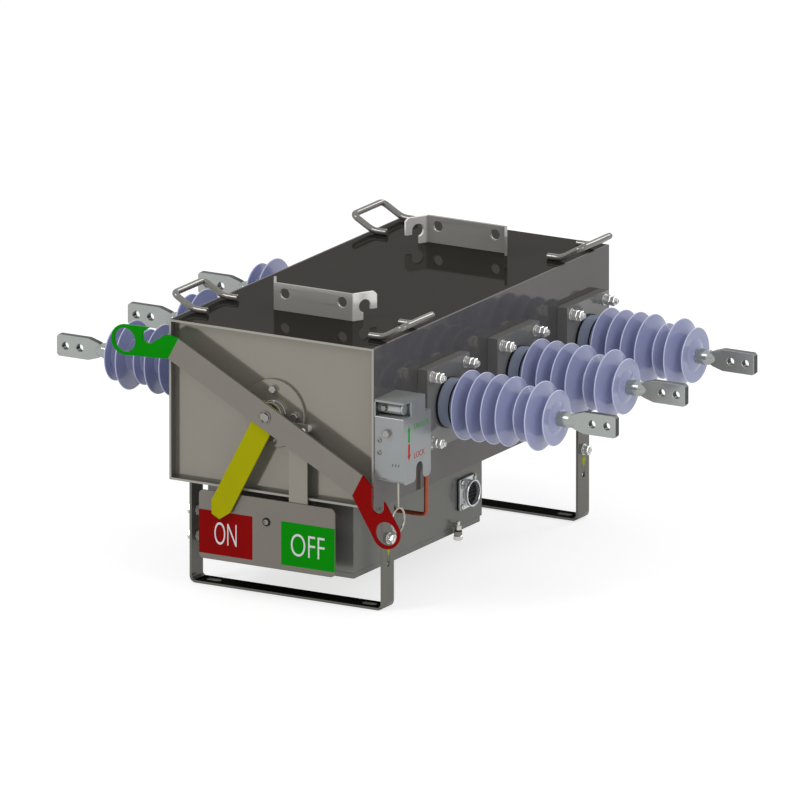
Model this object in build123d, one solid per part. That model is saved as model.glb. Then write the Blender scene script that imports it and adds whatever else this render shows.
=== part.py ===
from build123d import *
import os
from math import cos, radians, sin, tan

# Gas insulated load switch: a sealed steel gas tank on two flat-bar feet, with three phases. Millimetres,
# +X right seen from the lever, +Y back, +Z up. The origin is the middle of the four foot slots, on the ground.

# Flats on the rounds that repeat or stay hidden, which keep the model light
bushing_flat_count = 16
turned_flat_count = 24
rod_flat_count = 12
fastener_flat_count = 8
hexagon_flat_count = 6

# Gas tank
tank_width = 420
tank_length = 843
tank_height = 295
tank_wall = 4
end_recess = 15
ground_clearance = 200

# Phases and bushings
front_phase_margin = 231.5
rear_phase_margin = 111.5
flange_side = 150
flange_thickness = 20
flange_stud_pitch = 120
wall_hole_diameter = 80
collar_gasket_diameter = 93
collar_gasket_thickness = 4
neck_diameter = 90
neck_length = 21
neck_step = 2
core_diameter = 58
large_shed_diameter = 126
small_shed_diameter = 101
shed_pitch = 30
first_shed_reach = 62
shed_lean = 16
shed_edge = 2.5
end_dome = 5
root_diameter = 72
root_length = 50
conductor_diameter = 20
conductor_tail = 20

# Terminals
boss_diameter = 28
boss_length = 33
taper_length = 20
pad_length = 65
pad_height = 40
pad_thickness = 14
pad_hole_diameter = 14
pad_hole_pitch = 30
pad_end_margin = 18

# Contacts inside the tank
blade_width = 20
blade_thickness = 5
blade_reach = 118
jaw_length = 48
jaw_thickness = 8
jaw_width = 24
contact_gap = 0.3
rotor_diameter = 40
hub_diameter = 64
hub_length = 90

# Main shaft
shaft_diameter = 30
running_clearance = 0.05
tang_side = 20
tang_length = 25
shaft_tail = 60
end_float = 1
journal_gap = 2
neck_shaft_diameter = 17
neck_shaft_flats = 13
shaft_end_reach = 3
bearing_diameter = 54
bearing_flange_diameter = 78
bearing_flange_thickness = 8
bearing_length = 30
seal_ring_diameter = 44
seal_ring_thickness = 8
seal_cover_diameter = 125
seal_cover_thickness = 6
sleeve_diameter = 47
sleeve_wall = 5
sleeve_reach = 14
cover_bolt_circle = 89
retainer_diameter = 23
retainer_thickness = 2

# Lever and pointer
lever_angle = 28
lever_width = 45
lever_thickness = 5
lever_half_length = 214
lever_standoff = 37
pointer_width = 42
pointer_reach = 224
pointer_tip_width = 18
pointer_tip_length = 22
pointer_thickness = 4
hook_bend = 26
hook_ring_distance = 100
hook_ring_diameter = 56
hook_ring_bore = 43.5
hook_notch_diameter = 25.4
hook_notch_distance = 51.5
hook_notch_offset = 13.9
hook_shoulder = (17, 24)
hook_prong_tip = (52.7, 30.9)

# Sign board and its strap
board_width = 279
board_height = 126
board_thickness = 3
board_centre_x = -4.5
board_centre_z = 130
board_corner = 9
board_standoff = 20.5
board_bolt_x = -5
board_bolt_z = 151
board_bolt_head = 16
strap_width = 38
strap_thickness = 3
strap_centre_x = 58
strap_foot_z = 80
strap_screw_drop = 19.5
strap_top_margin = 12
strap_screw_pitch = 22
spacer_diameter = 12

# Mechanism box under the tank
box_width = 300
box_length = 457
box_height = 142.5
box_wall = 3
box_front_gap = 33
box_tray_height = 10
box_tray_short = 7

# Feet
foot_inset = 11
foot_bar_width = 40
foot_thickness = 5
foot_bend = 12
foot_end_margin = 71.5
foot_slot_pitch = 320
foot_slot_length = 30
foot_slot_width = 14
leg_bolt_z = 130
leg_hole_z = 83
leg_bolt_diameter = 10

# Hanging brackets
bracket_width = 160
bracket_height = 50
bracket_thickness = 5
front_bracket_margin = 151.5
rear_bracket_margin = 145.5
bracket_hole_diameter = 19
bracket_hole_pitch = 118
bracket_hole_height = 32
bracket_flange_length = 48
bracket_flange_angle = 60
bracket_lobe_diameter = 24
bracket_lobe_distance = 23
bracket_lobe_height = 25
bracket_neck = 20
bracket_prong_height = 18
bracket_chamfer = 6

# Lifting handles
handle_rod_diameter = 12
handle_span = 106
handle_foot_length = 29
handle_edge_margin = 15
handle_loop_length = 48
handle_loop_angle = 30
handle_bend = 9
front_handle_margin = 114
rear_handle_margin = 92

# Lock on the right side of the tank
lock_width = 60
lock_depth = 97
lock_front_gap = 2
lock_sheet = 2
lock_bottom_rise = 51
lock_shoulder_rise = 171
lock_top_rise = 203
lock_corner = 10
lock_side_corner = 20
lock_window_depth = 26
lock_window_low_rise = 173
lock_window_high_rise = 199
lock_step_length = 20
lock_notch_width = 25
lock_notch_rise = 84
lock_notch_gap = 44.5
lock_slide_width = 24
lock_slide_thickness = 6
lock_slide_height = 70
lock_slide_rise = 160
lock_guide_depth = 12
lock_guide_height = 50
lock_guide_rise = 152
lock_play = 0.3
pull_rod_diameter = 4
pull_rod_reach = 43
pull_ring_diameter = 44
pull_ring_drop = 15.5
roller_diameter = 22
roller_length = 50
roller_back = 22

# Control socket, gas valve and gas pipe on the mechanism box
socket_flange = 57
socket_flange_thickness = 4
socket_gasket_thickness = 3
socket_shell_diameter = 49
socket_shell_wall = 3
socket_reach = 12
socket_recess = 7
socket_insert_length = 30
socket_screw_pitch = 45
socket_back_margin = 60.5
socket_z = 125
valve_back_margin = 102.5
valve_standoff = 10
valve_bottom_z = 47
valve_cap_diameter = 15
valve_cap_height = 14
valve_body_diameter = 12
valve_body_height = 21
valve_stub_diameter = 8
valve_stub_z = 74
pipe_diameter = 8
pipe_wall = 1
pipe_bend = 6
pipe_front_margin = 139.5
pipe_top_z = 246
pipe_bottom_z = 152
pipe_standoff = 4
grommet_diameter = 16
grommet_thickness = 2
switch_diameter = 42
switch_length = 50

# Fasteners
flange_stud_diameter = 10
flange_stud_reach = 29
flange_washer_diameter = 21
flange_washer_thickness = 3
flange_nut_across_flats = 17
flange_nut_height = 22
bolt_diameter = 8
bolt_across_flats = 13
bolt_head = 6
bolt_washer_diameter = 18
bolt_washer_thickness = 2
screw_diameter = 5
screw_head_diameter = 9
screw_head_height = 3

# Places worked out from the sizes above
tank_bottom_z = ground_clearance
tank_top_z = tank_bottom_z + tank_height
axis_z = tank_bottom_z + tank_height / 2
half_width = tank_width / 2
front_y = -tank_length / 2
panel_y = front_y + end_recess
panel_back_y = panel_y + tank_wall
rear_panel_y = -panel_back_y
first_phase_y = front_y + front_phase_margin
last_phase_y = -front_y - rear_phase_margin
phase_ys = [first_phase_y, (first_phase_y + last_phase_y) / 2, last_phase_y]
body_start = flange_thickness + collar_gasket_thickness
body_end = first_shed_reach + 6 * shed_pitch + end_dome
lever_front_y = panel_y - lever_standoff
lever_back_y = lever_front_y + lever_thickness
pointer_back_y = lever_back_y + pointer_thickness
cover_front_y = panel_y - seal_cover_thickness
strap_screw_z = axis_z - strap_screw_drop
strap_top_z = strap_screw_z + strap_top_margin
strap_back_y = panel_y - board_standoff + strap_thickness
board_back_y = strap_back_y - strap_thickness
box_bottom_z = tank_bottom_z - box_height
box_front_y = front_y + box_front_gap
box_back_y = box_front_y + box_length
box_side_x = box_width / 2
socket_y = box_back_y - socket_back_margin
socket_bore = socket_shell_diameter - 2 * socket_shell_wall
valve_y = box_back_y - valve_back_margin
pipe_y = box_front_y + pipe_front_margin
lock_front_y = front_y + lock_front_gap
lock_back_y = lock_front_y + lock_depth
lock_side_x = half_width + lock_width
lock_bottom_z = tank_bottom_z + lock_bottom_rise
lock_top_z = tank_bottom_z + lock_top_rise
lock_shoulder_z = tank_bottom_z + lock_shoulder_rise
lock_window_low = tank_bottom_z + lock_window_low_rise
lock_window_high = tank_bottom_z + lock_window_high_rise
lock_notch_top_z = tank_bottom_z + lock_notch_rise
lock_slide_top_z = tank_bottom_z + lock_slide_rise
lock_guide_top_z = tank_bottom_z + lock_guide_rise
pull_rod_x = half_width + pull_rod_reach
pull_ring_centre_z = tank_bottom_z - pull_ring_drop
foot_width = tank_width - 2 * foot_inset
foot_spacing = tank_length - 2 * foot_end_margin
front_bracket_y = front_y + front_bracket_margin
rear_bracket_y = -front_y - rear_bracket_margin
front_handle_y = front_y + front_handle_margin
rear_handle_y = -front_y - rear_handle_margin
leg_outer_x = foot_width / 2
leg_inner_x = leg_outer_x - foot_thickness
upwards = (0, 0, 1)
downwards = (0, 0, -1)
rightwards = (1, 0, 0)
leftwards = (-1, 0, 0)
forwards = (0, -1, 0)
backwards = (0, 1, 0)

os.makedirs("parts", exist_ok=True)


def save(node, *shapes):
    """Write one node. Several solids stay separate inside it."""
    solids = [solid for shape in shapes for solid in shape.solids()]
    export_step(Compound(solids) if len(solids) > 1 else solids[0], f"parts/{node}.step")


def flatted(diameter, flats):
    """Outline of a round with flats, as wide across them as its diameter and square to the plane's axes."""
    return RegularPolygon(diameter / 2, flats, major_radius=False, rotation=180 / flats)


def bar_along(axis, start, diameter, length, flats=None):
    """A bar that starts at a point and runs along an axis, either round or with flats."""
    outline = flatted(diameter, flats) if flats else Circle(diameter / 2)
    return extrude(Plane(start, z_dir=axis) * outline, length)


def ring_along(axis, start, diameter, bore, length, flats=None, bore_flats=None):
    """A bar with a hole through it."""
    return bar_along(axis, start, diameter, length, flats) - bar_along(axis, start, bore, length, bore_flats)


def hexagon_along(axis, start, across_flats, length):
    """A hexagon bar that starts at a point and runs along an axis."""
    return bar_along(axis, start, across_flats, length, hexagon_flat_count)


def turned_with_flats(points, flats):
    """A turned shape along +X with flats, from its half outline: one sector, copied round and joined."""
    reach = 2 * max(radius for _, radius in points)
    start = min(x for x, _ in points)
    length = max(x for x, _ in points) - start
    slab = extrude(make_face(Plane.XZ * Polyline(*points, close=True)), reach, both=True)
    half_side = reach * tan(radians(180 / flats))
    sector = make_face(Polyline((0, 0), (reach, half_side), (reach, -half_side), close=True))
    sector_plane = Plane((start, 0, 0), x_dir=upwards, z_dir=rightwards)
    piece = slab & extrude(sector_plane * sector, length)
    copies = [Rot(step * 360 / flats, 0, 0) * piece for step in range(flats)]
    return copies[0].fuse(*copies[1:])


def bent_rod(corners, bend, section):
    """A rod swept along straight runs, with each corner cut short by the bend."""
    route = [corners[0]]
    for before, corner, after in zip(corners, corners[1:], corners[2:]):
        here = Vector(*corner)
        route.append(here + (Vector(*before) - here).normalized() * bend)
        route.append(here + (Vector(*after) - here).normalized() * bend)
    route.append(corners[-1])
    path = Polyline(*route)
    return sweep(Plane(path @ 0, z_dir=path % 0) * section, path=path, transition=Transition.RIGHT)


def bolt_along(axis, seat, grip, diameter, across_flats, head, washer_diameter, washer_thickness):
    """A hexagon bolt with its washer on a seat. Its shank runs back from the seat, and the axis points out."""
    x, y, z = seat
    back = tuple(-part for part in axis)
    top = tuple(place + part * washer_thickness for place, part in zip(seat, axis))
    shank = bar_along(back, (x, y, z), diameter, grip, fastener_flat_count)
    washer = bar_along(axis, seat, washer_diameter, washer_thickness, rod_flat_count)
    return shank + washer + hexagon_along(axis, top, across_flats, head)


def screw_along(axis, seat, grip):
    """A round-headed screw on a seat, with the axis pointing out of its head."""
    back = tuple(-part for part in axis)
    shank = bar_along(back, seat, screw_diameter, grip, fastener_flat_count)
    return shank + bar_along(axis, seat, screw_head_diameter, screw_head_height, fastener_flat_count)


def block(low, high):
    """A block between two corners."""
    size = [top - bottom for bottom, top in zip(low, high)]
    centre = [(top + bottom) / 2 for bottom, top in zip(low, high)]
    return Pos(*centre) * Box(*size)


def square_corners(pitch):
    """The four places at the corners of a square."""
    return [(a * pitch / 2, b * pitch / 2) for a in (-1, 1) for b in (-1, 1)]


# Tank


def make_tank():
    """Folded sides and floor, a top plate between the sides, and two recessed end panels."""
    inside_x = half_width - tank_wall
    low_z = tank_bottom_z + tank_wall
    high_z = tank_top_z - tank_wall
    shell = block((-half_width, front_y, tank_bottom_z), (half_width, -front_y, tank_top_z))
    shell -= block((-inside_x, front_y, low_z), (inside_x, -front_y, tank_top_z))
    for y in phase_ys:
        hole_start = (-half_width, y, axis_z)
        shell -= bar_along(rightwards, hole_start, wall_hole_diameter, tank_width, bushing_flat_count)
    pipe_hole_start = (inside_x, pipe_y, pipe_top_z)
    shell -= bar_along(rightwards, pipe_hole_start, pipe_diameter, tank_wall, fastener_flat_count)
    save("tank_shell", shell)

    top = block((-inside_x, front_y, high_z), (inside_x, -front_y, tank_top_z))
    save("top_plate", top)

    front = block((-inside_x, panel_y, low_z), (inside_x, panel_back_y, high_z))
    front -= bar_along(backwards, (0, panel_y, axis_z), bearing_diameter, tank_wall, turned_flat_count)
    save("front_panel", front)

    rear = block((-inside_x, rear_panel_y, low_z), (inside_x, rear_panel_y + tank_wall, high_z))
    save("rear_panel", rear)


# Bushings, each drawn along +X from the face of the tank wall


def bushing_flange():
    """Square steel plate that clamps the bushing to the wall, on four studs."""
    plate = Pos(flange_thickness / 2, 0, 0) * Box(flange_thickness, flange_side, flange_side)
    plate -= bar_along(rightwards, (0, 0, 0), root_diameter, flange_thickness, bushing_flat_count)
    for y, z in square_corners(flange_stud_pitch):
        plate -= bar_along(rightwards, (0, y, z), flange_stud_diameter, flange_thickness, fastener_flat_count)
    return plate


def bushing_body():
    """Silicone body turned about its conductor: root inside the tank, neck and seven leaning sheds."""
    core = core_diameter / 2
    neck = neck_diameter / 2
    step = neck - neck_step
    large = large_shed_diameter / 2
    small = small_shed_diameter / 2
    bore = conductor_diameter / 2
    root = root_diameter / 2
    neck_end = body_start + neck_length
    points = [(-root_length, bore), (-root_length, root), (body_start, root), (body_start, neck)]
    points += [(neck_end, neck), (neck_end, step)]
    shed_radii = [large, large, large, large, small, large, small]
    for number, radius in enumerate(shed_radii):
        edge = first_shed_reach + number * shed_pitch
        foot = core if number else step
        points += [(edge, foot), (edge - shed_edge, radius), (edge, radius)]
        if number < len(shed_radii) - 1:
            points += [(edge + shed_lean, core)]
    points += [(body_end, boss_diameter / 2), (body_end, bore)]
    return turned_with_flats(points, bushing_flat_count)


def terminal():
    """Conductor rod through the bushing, its round boss, and a flat pad with two holes."""
    boss_end = body_end + boss_length
    pad_start = boss_end + taper_length
    pad_end = pad_start + pad_length
    tail_x = -root_length - conductor_tail
    half_boss = boss_diameter / 2
    half_pad = pad_height / 2
    rod = conductor_diameter / 2
    points = [(tail_x, 0), (tail_x, rod), (body_end, rod), (body_end, half_boss), (boss_end, half_boss)]
    points += [(pad_start, pad_thickness / 2), (pad_start, 0)]
    outline = Polyline(
        (boss_end, -half_boss),
        (pad_start, -half_pad),
        (pad_end, -half_pad),
        (pad_end, half_pad),
        (pad_start, half_pad),
        (boss_end, half_boss),
        close=True,
    )
    solid = turned_with_flats(points, bushing_flat_count)
    solid += extrude(make_face(Plane.XZ * outline), pad_thickness / 2, both=True)
    for number in (0, 1):
        x = pad_end - pad_end_margin - number * pad_hole_pitch
        solid -= bar_along(backwards, (x, -pad_thickness, 0), pad_hole_diameter, 2 * pad_thickness)
    return solid


def fixed_contact():
    """Copper blade on the inner end of the conductor."""
    end_x = -root_length - conductor_tail
    blade = block(
        (end_x - jaw_length, -jaw_thickness / 2, -jaw_width / 2), (end_x, jaw_thickness / 2, jaw_width / 2)
    )
    nose = [edge for edge in blade.edges().filter_by(Axis.Y) if edge.center().X < end_x - 1]
    return chamfer(nose, jaw_width / 3)


def flange_nut():
    """Washer and nut on a stud, in one solid."""
    washer = bar_along(
        rightwards, (0, 0, 0), flange_washer_diameter, flange_washer_thickness, fastener_flat_count
    )
    nut_start = (flange_washer_thickness, 0, 0)
    nut = hexagon_along(rightwards, nut_start, flange_nut_across_flats, flange_nut_height)
    reach = flange_washer_thickness + flange_nut_height
    return washer + nut - bar_along(rightwards, (0, 0, 0), flange_stud_diameter, reach, fastener_flat_count)


def make_bushings():
    """Six bushings: three through each side wall, the left ones turned half round."""
    flange = bushing_flange()
    gasket = ring_along(
        rightwards,
        (flange_thickness, 0, 0),
        collar_gasket_diameter,
        root_diameter,
        collar_gasket_thickness,
        bushing_flat_count,
        bushing_flat_count,
    )
    body = bushing_body()
    rod = terminal()
    contact = fixed_contact()
    stud_length = flange_thickness + flange_stud_reach
    stud = bar_along(rightwards, (0, 0, 0), flange_stud_diameter, stud_length, fastener_flat_count)
    nut = Pos(flange_thickness, 0, 0) * flange_nut()
    flanges, gaskets, contacts, studs, nuts = [], [], [], [], []
    for side, turn in (("right", 0), ("left", 180)):
        for number, y in enumerate(phase_ys, 1):
            place = Pos(half_width if side == "right" else -half_width, y, axis_z) * Rot(0, 0, turn)
            save(f"bushing_{side}_{number}", place * body)
            save(f"terminal_{side}_{number}", place * rod)
            flanges.append(place * flange)
            gaskets.append(place * gasket)
            contacts.append(place * contact)
            for a, b in square_corners(flange_stud_pitch):
                studs.append(place * Pos(0, a, b) * stud)
                nuts.append(place * Pos(0, a, b) * nut)
    save("bushing_flanges", *flanges)
    save("bushing_gaskets", *gaskets)
    save("fixed_contacts", *contacts)
    save("flange_studs", *studs)
    save("flange_nuts", *nuts)


# Main shaft, its bearings and the contacts that it turns


def neck_section():
    """The shaft's end section, round with two flats, that drives the lever and the pointer."""
    return Circle(neck_shaft_diameter / 2) & Rectangle(neck_shaft_diameter, neck_shaft_flats)


def lever_plane(y):
    """Drawing plane of the lever, with its own right along the lever's red end."""
    turn = radians(lever_angle)
    return Plane((0, y, axis_z), x_dir=(cos(turn), 0, -sin(turn)), z_dir=forwards)


def make_shaft():
    """Steel shaft through the front panel, and the insulating rotor that its tang drives."""
    shaft_end_y = panel_back_y + shaft_tail
    shaft = bar_along(backwards, (0, pointer_back_y, axis_z), shaft_diameter, shaft_end_y - pointer_back_y)
    half_tang = tang_side / 2
    shaft += block(
        (-half_tang, shaft_end_y, axis_z - half_tang),
        (half_tang, shaft_end_y + tang_length, axis_z + half_tang),
    )
    neck_length_y = pointer_back_y - lever_front_y + shaft_end_reach
    shaft += extrude(lever_plane(pointer_back_y) * neck_section(), neck_length_y)
    save("main_shaft", shaft)

    rotor_end_y = rear_panel_y - end_float
    journal_y = rear_panel_y - bearing_length
    rotor_length = journal_y - journal_gap - shaft_end_y
    rotor = bar_along(backwards, (0, shaft_end_y, axis_z), rotor_diameter, rotor_length, rod_flat_count)
    rotor += bar_along(backwards, (0, journal_y - journal_gap, axis_z), shaft_diameter, rotor_end_y - journal_y)
    blades = []
    half_blade = blade_width / 2
    for y in phase_ys:
        rotor += bar_along(backwards, (0, y - hub_length / 2, axis_z), hub_diameter, hub_length, rod_flat_count)
    for y in phase_ys:
        for side in (-1, 1):
            near = y + side * (jaw_thickness / 2 + contact_gap)
            far = near + side * blade_thickness
            blade = block(
                (-blade_reach, min(near, far), axis_z - half_blade),
                (blade_reach, max(near, far), axis_z + half_blade),
            )
            rotor -= blade
            blades.append(blade)
    rotor -= block(
        (-half_tang, shaft_end_y, axis_z - half_tang),
        (half_tang, shaft_end_y + tang_length, axis_z + half_tang),
    )
    save("contact_rotor", rotor)
    save("moving_blades", *blades)


def make_bearings():
    """Flanged bearing behind each end panel, the front seal and its bolted cover with a sleeve."""
    bore = shaft_diameter + 2 * running_clearance
    front_centre = (0, panel_y, axis_z)
    panel_centre = (0, panel_back_y, axis_z)
    rear_centre = (0, rear_panel_y, axis_z)
    front = bar_along(backwards, front_centre, bearing_diameter, bearing_length, turned_flat_count)
    front += bar_along(
        backwards, panel_centre, bearing_flange_diameter, bearing_flange_thickness, turned_flat_count
    )
    front -= bar_along(backwards, front_centre, seal_ring_diameter, seal_ring_thickness, turned_flat_count)
    front -= bar_along(backwards, front_centre, bore, bearing_length)
    seal = bar_along(backwards, front_centre, seal_ring_diameter, seal_ring_thickness, turned_flat_count)
    seal -= bar_along(backwards, front_centre, bore, seal_ring_thickness, turned_flat_count)
    rear = bar_along(forwards, rear_centre, bearing_diameter, bearing_length, turned_flat_count)
    rear_flange = (forwards, rear_centre, bearing_flange_diameter, bearing_flange_thickness)
    rear += bar_along(*rear_flange, turned_flat_count)
    rear -= bar_along(forwards, rear_centre, bore, bearing_length)
    save("shaft_seal", seal)
    save("shaft_bearings", front, rear)

    cover_centre = (0, cover_front_y, axis_z)
    sleeve_bore = sleeve_diameter - 2 * sleeve_wall
    cover = bar_along(forwards, front_centre, seal_cover_diameter, seal_cover_thickness, turned_flat_count)
    cover += bar_along(forwards, cover_centre, sleeve_diameter, sleeve_reach, turned_flat_count)
    cover -= bar_along(forwards, cover_centre, sleeve_bore, sleeve_reach, turned_flat_count)
    cover -= bar_along(forwards, front_centre, bore, seal_cover_thickness, turned_flat_count)
    bolts = []
    for x, z in ((1, 0), (0, 1), (-1, 0), (0, -1)):
        place = (x * cover_bolt_circle / 2, cover_front_y, axis_z + z * cover_bolt_circle / 2)
        bolt = bolt_along(
            forwards,
            place,
            seal_cover_thickness,
            bolt_diameter,
            bolt_across_flats,
            bolt_head,
            bolt_washer_diameter,
            bolt_washer_thickness,
        )
        cover -= bar_along(backwards, place, bolt_diameter, seal_cover_thickness, fastener_flat_count)
        bolts.append(bolt)
    strap_screw_x = strap_centre_x - strap_screw_pitch / 2
    strap_screw_place = (strap_screw_x, cover_front_y, strap_screw_z)
    cover -= bar_along(
        backwards, strap_screw_place, screw_diameter, seal_cover_thickness, fastener_flat_count
    )
    save("seal_cover", cover)
    save("cover_bolts", *bolts)


# Lever, its hook ends and the pointer


def hook_blank():
    """Flat hook plate in the lever's plane: a bent arm with a notch and a ring for the operating stick."""
    half = lever_width / 2
    bend = radians(hook_bend)
    ring_radius = hook_ring_diameter / 2
    outline = Polyline(
        (-half * sin(bend), half * cos(bend)),
        hook_shoulder,
        hook_prong_tip,
        (hook_ring_distance, ring_radius),
        (hook_ring_distance, -ring_radius),
        (half * sin(bend), -half * cos(bend)),
        close=True,
    )
    # The notch opens straight up while the lever stands at ON.
    opening = 180 - (90 - lever_angle - hook_bend)
    notch_centre = Pos(hook_notch_distance, hook_notch_offset) * Rot(0, 0, opening)
    notch = Circle(hook_notch_diameter / 2) + Pos(hook_ring_diameter / 2, 0) * Rectangle(
        hook_ring_diameter, hook_notch_diameter
    )
    plate = make_face(outline) + Pos(hook_ring_distance, 0) * Circle(ring_radius)
    plate -= Pos(hook_ring_distance, 0) * Circle(hook_ring_bore / 2)
    plate -= notch_centre * notch
    return extrude(Pos(lever_half_length, 0) * Rot(0, 0, -hook_bend) * plate, lever_thickness)


def make_lever():
    """Lever bar with a hook plate on each end, and the pointer behind it, all on the shaft's flats."""
    plane = lever_plane(lever_back_y)
    bar = extrude(Rectangle(2 * lever_half_length, lever_width) - neck_section(), lever_thickness)
    hook = hook_blank()
    save("lever_bar", plane * bar)
    save("hook_red", plane * hook)
    save("hook_green", plane * mirror(hook, Plane.YZ))

    half = pointer_width / 2
    tip = pointer_tip_width / 2
    outline = Polyline(
        (-half, half),
        (half, half),
        (half, pointer_tip_length - pointer_reach),
        (tip, -pointer_reach),
        (-tip, -pointer_reach),
        (-half, pointer_tip_length - pointer_reach),
        close=True,
    )
    pointer = extrude(make_face(outline) - neck_section(), pointer_thickness)
    save("position_pointer", lever_plane(pointer_back_y) * pointer)

    retainer = extrude(flatted(retainer_diameter, turned_flat_count) - neck_section(), retainer_thickness)
    save("lever_retainer", lever_plane(lever_front_y) * retainer)


# Sign board


def spacer(seat, bore, length):
    """Tube that holds the sign off the tank, from a seat backwards."""
    return ring_along(backwards, seat, spacer_diameter, bore, length, rod_flat_count, fastener_flat_count)


def make_board():
    """ON and OFF board, hung in front of the tank by a strap on two spacers and a post on the box."""
    face = Plane((board_centre_x, board_back_y, board_centre_z), x_dir=rightwards, z_dir=forwards)
    board = extrude(face * RectangleRounded(board_width, board_height, board_corner), board_thickness)
    post_place = (board_bolt_x, board_back_y, board_bolt_z)
    board -= bar_along(forwards, post_place, bolt_diameter, board_thickness, fastener_flat_count)
    save("sign_board", board)

    strap = block(
        (strap_centre_x - strap_width / 2, board_back_y, strap_foot_z),
        (strap_centre_x + strap_width / 2, strap_back_y, strap_top_z),
    )
    posts = []
    screws = []
    # The inner screw goes through the seal cover, so its spacer stops on the cover.
    for side, stop_y in ((-1, cover_front_y), (1, panel_y)):
        place = (strap_centre_x + side * strap_screw_pitch / 2, board_back_y, strap_screw_z)
        strap -= bar_along(backwards, place, screw_diameter, strap_thickness, fastener_flat_count)
        seat = (place[0], strap_back_y, place[2])
        posts.append(spacer(seat, screw_diameter, stop_y - strap_back_y))
        screws.append(screw_along(forwards, place, panel_y - board_back_y))
    post_length = box_front_y - board_back_y
    posts.append(spacer(post_place, bolt_diameter, post_length))
    head_place = (board_bolt_x, board_back_y - board_thickness, board_bolt_z)
    head = bar_along(forwards, head_place, board_bolt_head, screw_head_height, rod_flat_count)
    shank_length = post_length + board_thickness
    shank = bar_along(backwards, head_place, bolt_diameter, shank_length, fastener_flat_count)
    save("sign_strap", strap)
    save("sign_spacers", *posts)
    save("sign_screws", *screws, head + shank)


# Mechanism box


def make_box():
    """Folded box welded under the tank, closed below by a tray."""
    low_z = box_bottom_z + box_tray_height
    shell = block((-box_side_x, box_front_y, low_z), (box_side_x, box_back_y, tank_bottom_z))
    shell -= block(
        (-box_side_x + box_wall, box_front_y + box_wall, low_z),
        (box_side_x - box_wall, box_back_y - box_wall, tank_bottom_z),
    )
    inside_x = box_side_x - box_wall
    for y, z, diameter, flats in (
        (socket_y, socket_z, socket_bore, turned_flat_count),
        (pipe_y, pipe_bottom_z, pipe_diameter, fastener_flat_count),
        (valve_y, valve_stub_z, valve_stub_diameter, fastener_flat_count),
    ):
        shell -= bar_along(rightwards, (inside_x, y, z), diameter, box_wall, flats)
    save("mechanism_box", shell)

    tray_back_y = box_back_y - box_tray_short
    tray = block((-box_side_x, box_front_y, box_bottom_z), (box_side_x, tray_back_y, low_z))
    tray -= block(
        (-box_side_x + box_wall, box_front_y + box_wall, box_bottom_z + box_wall),
        (box_side_x - box_wall, tray_back_y - box_wall, low_z),
    )
    save("box_tray", tray)

    switch_end_x = box_side_x - box_wall - pipe_bend
    switch_end = (switch_end_x, pipe_y, pipe_bottom_z)
    switch = bar_along(leftwards, switch_end, switch_diameter, switch_length, rod_flat_count)
    carrier_low = (switch_end_x - switch_length, pipe_y - switch_diameter / 2, pipe_bottom_z)
    carrier_high = (switch_end_x, pipe_y + switch_diameter / 2, tank_bottom_z)
    save("pressure_switch", switch + block(carrier_low, carrier_high))


# Control socket, gas valve and gas pipe


def make_socket():
    """Control socket on the box: gasket, flanged shell, pin insert and four screws."""
    centre = (box_side_x, socket_y, socket_z)
    plane = Plane(centre, x_dir=backwards, z_dir=rightwards)
    flange_start = box_side_x + socket_gasket_thickness
    shell_start = flange_start + socket_flange_thickness
    shell_end = shell_start + socket_reach
    gasket = extrude(plane * Rectangle(socket_flange, socket_flange), socket_gasket_thickness)
    flange_outline = RectangleRounded(socket_flange, socket_flange, socket_shell_wall)
    shell = extrude(plane.offset(socket_gasket_thickness) * flange_outline, socket_flange_thickness)
    shell_centre = (shell_start, socket_y, socket_z)
    flange_centre = (flange_start, socket_y, socket_z)
    shell += bar_along(rightwards, shell_centre, socket_shell_diameter, socket_reach, turned_flat_count)
    shell -= bar_along(rightwards, flange_centre, socket_bore, shell_end - flange_start, turned_flat_count)
    gasket -= bar_along(rightwards, centre, socket_bore, socket_gasket_thickness, turned_flat_count)
    screws = []
    for y, z in square_corners(socket_screw_pitch):
        seat = (shell_start, socket_y + y, socket_z + z)
        hole = bar_along(leftwards, seat, screw_diameter, shell_start - box_side_x, fastener_flat_count)
        gasket -= hole
        shell -= hole
        screws.append(screw_along(rightwards, seat, shell_start - box_side_x))
    insert_end = shell_end - socket_recess
    insert_start = (insert_end - socket_insert_length, socket_y, socket_z)
    insert = bar_along(rightwards, insert_start, socket_bore, socket_insert_length, turned_flat_count)
    save("socket_gasket", gasket)
    save("socket_shell", shell)
    save("socket_insert", insert)
    save("socket_screws", *screws)


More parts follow.
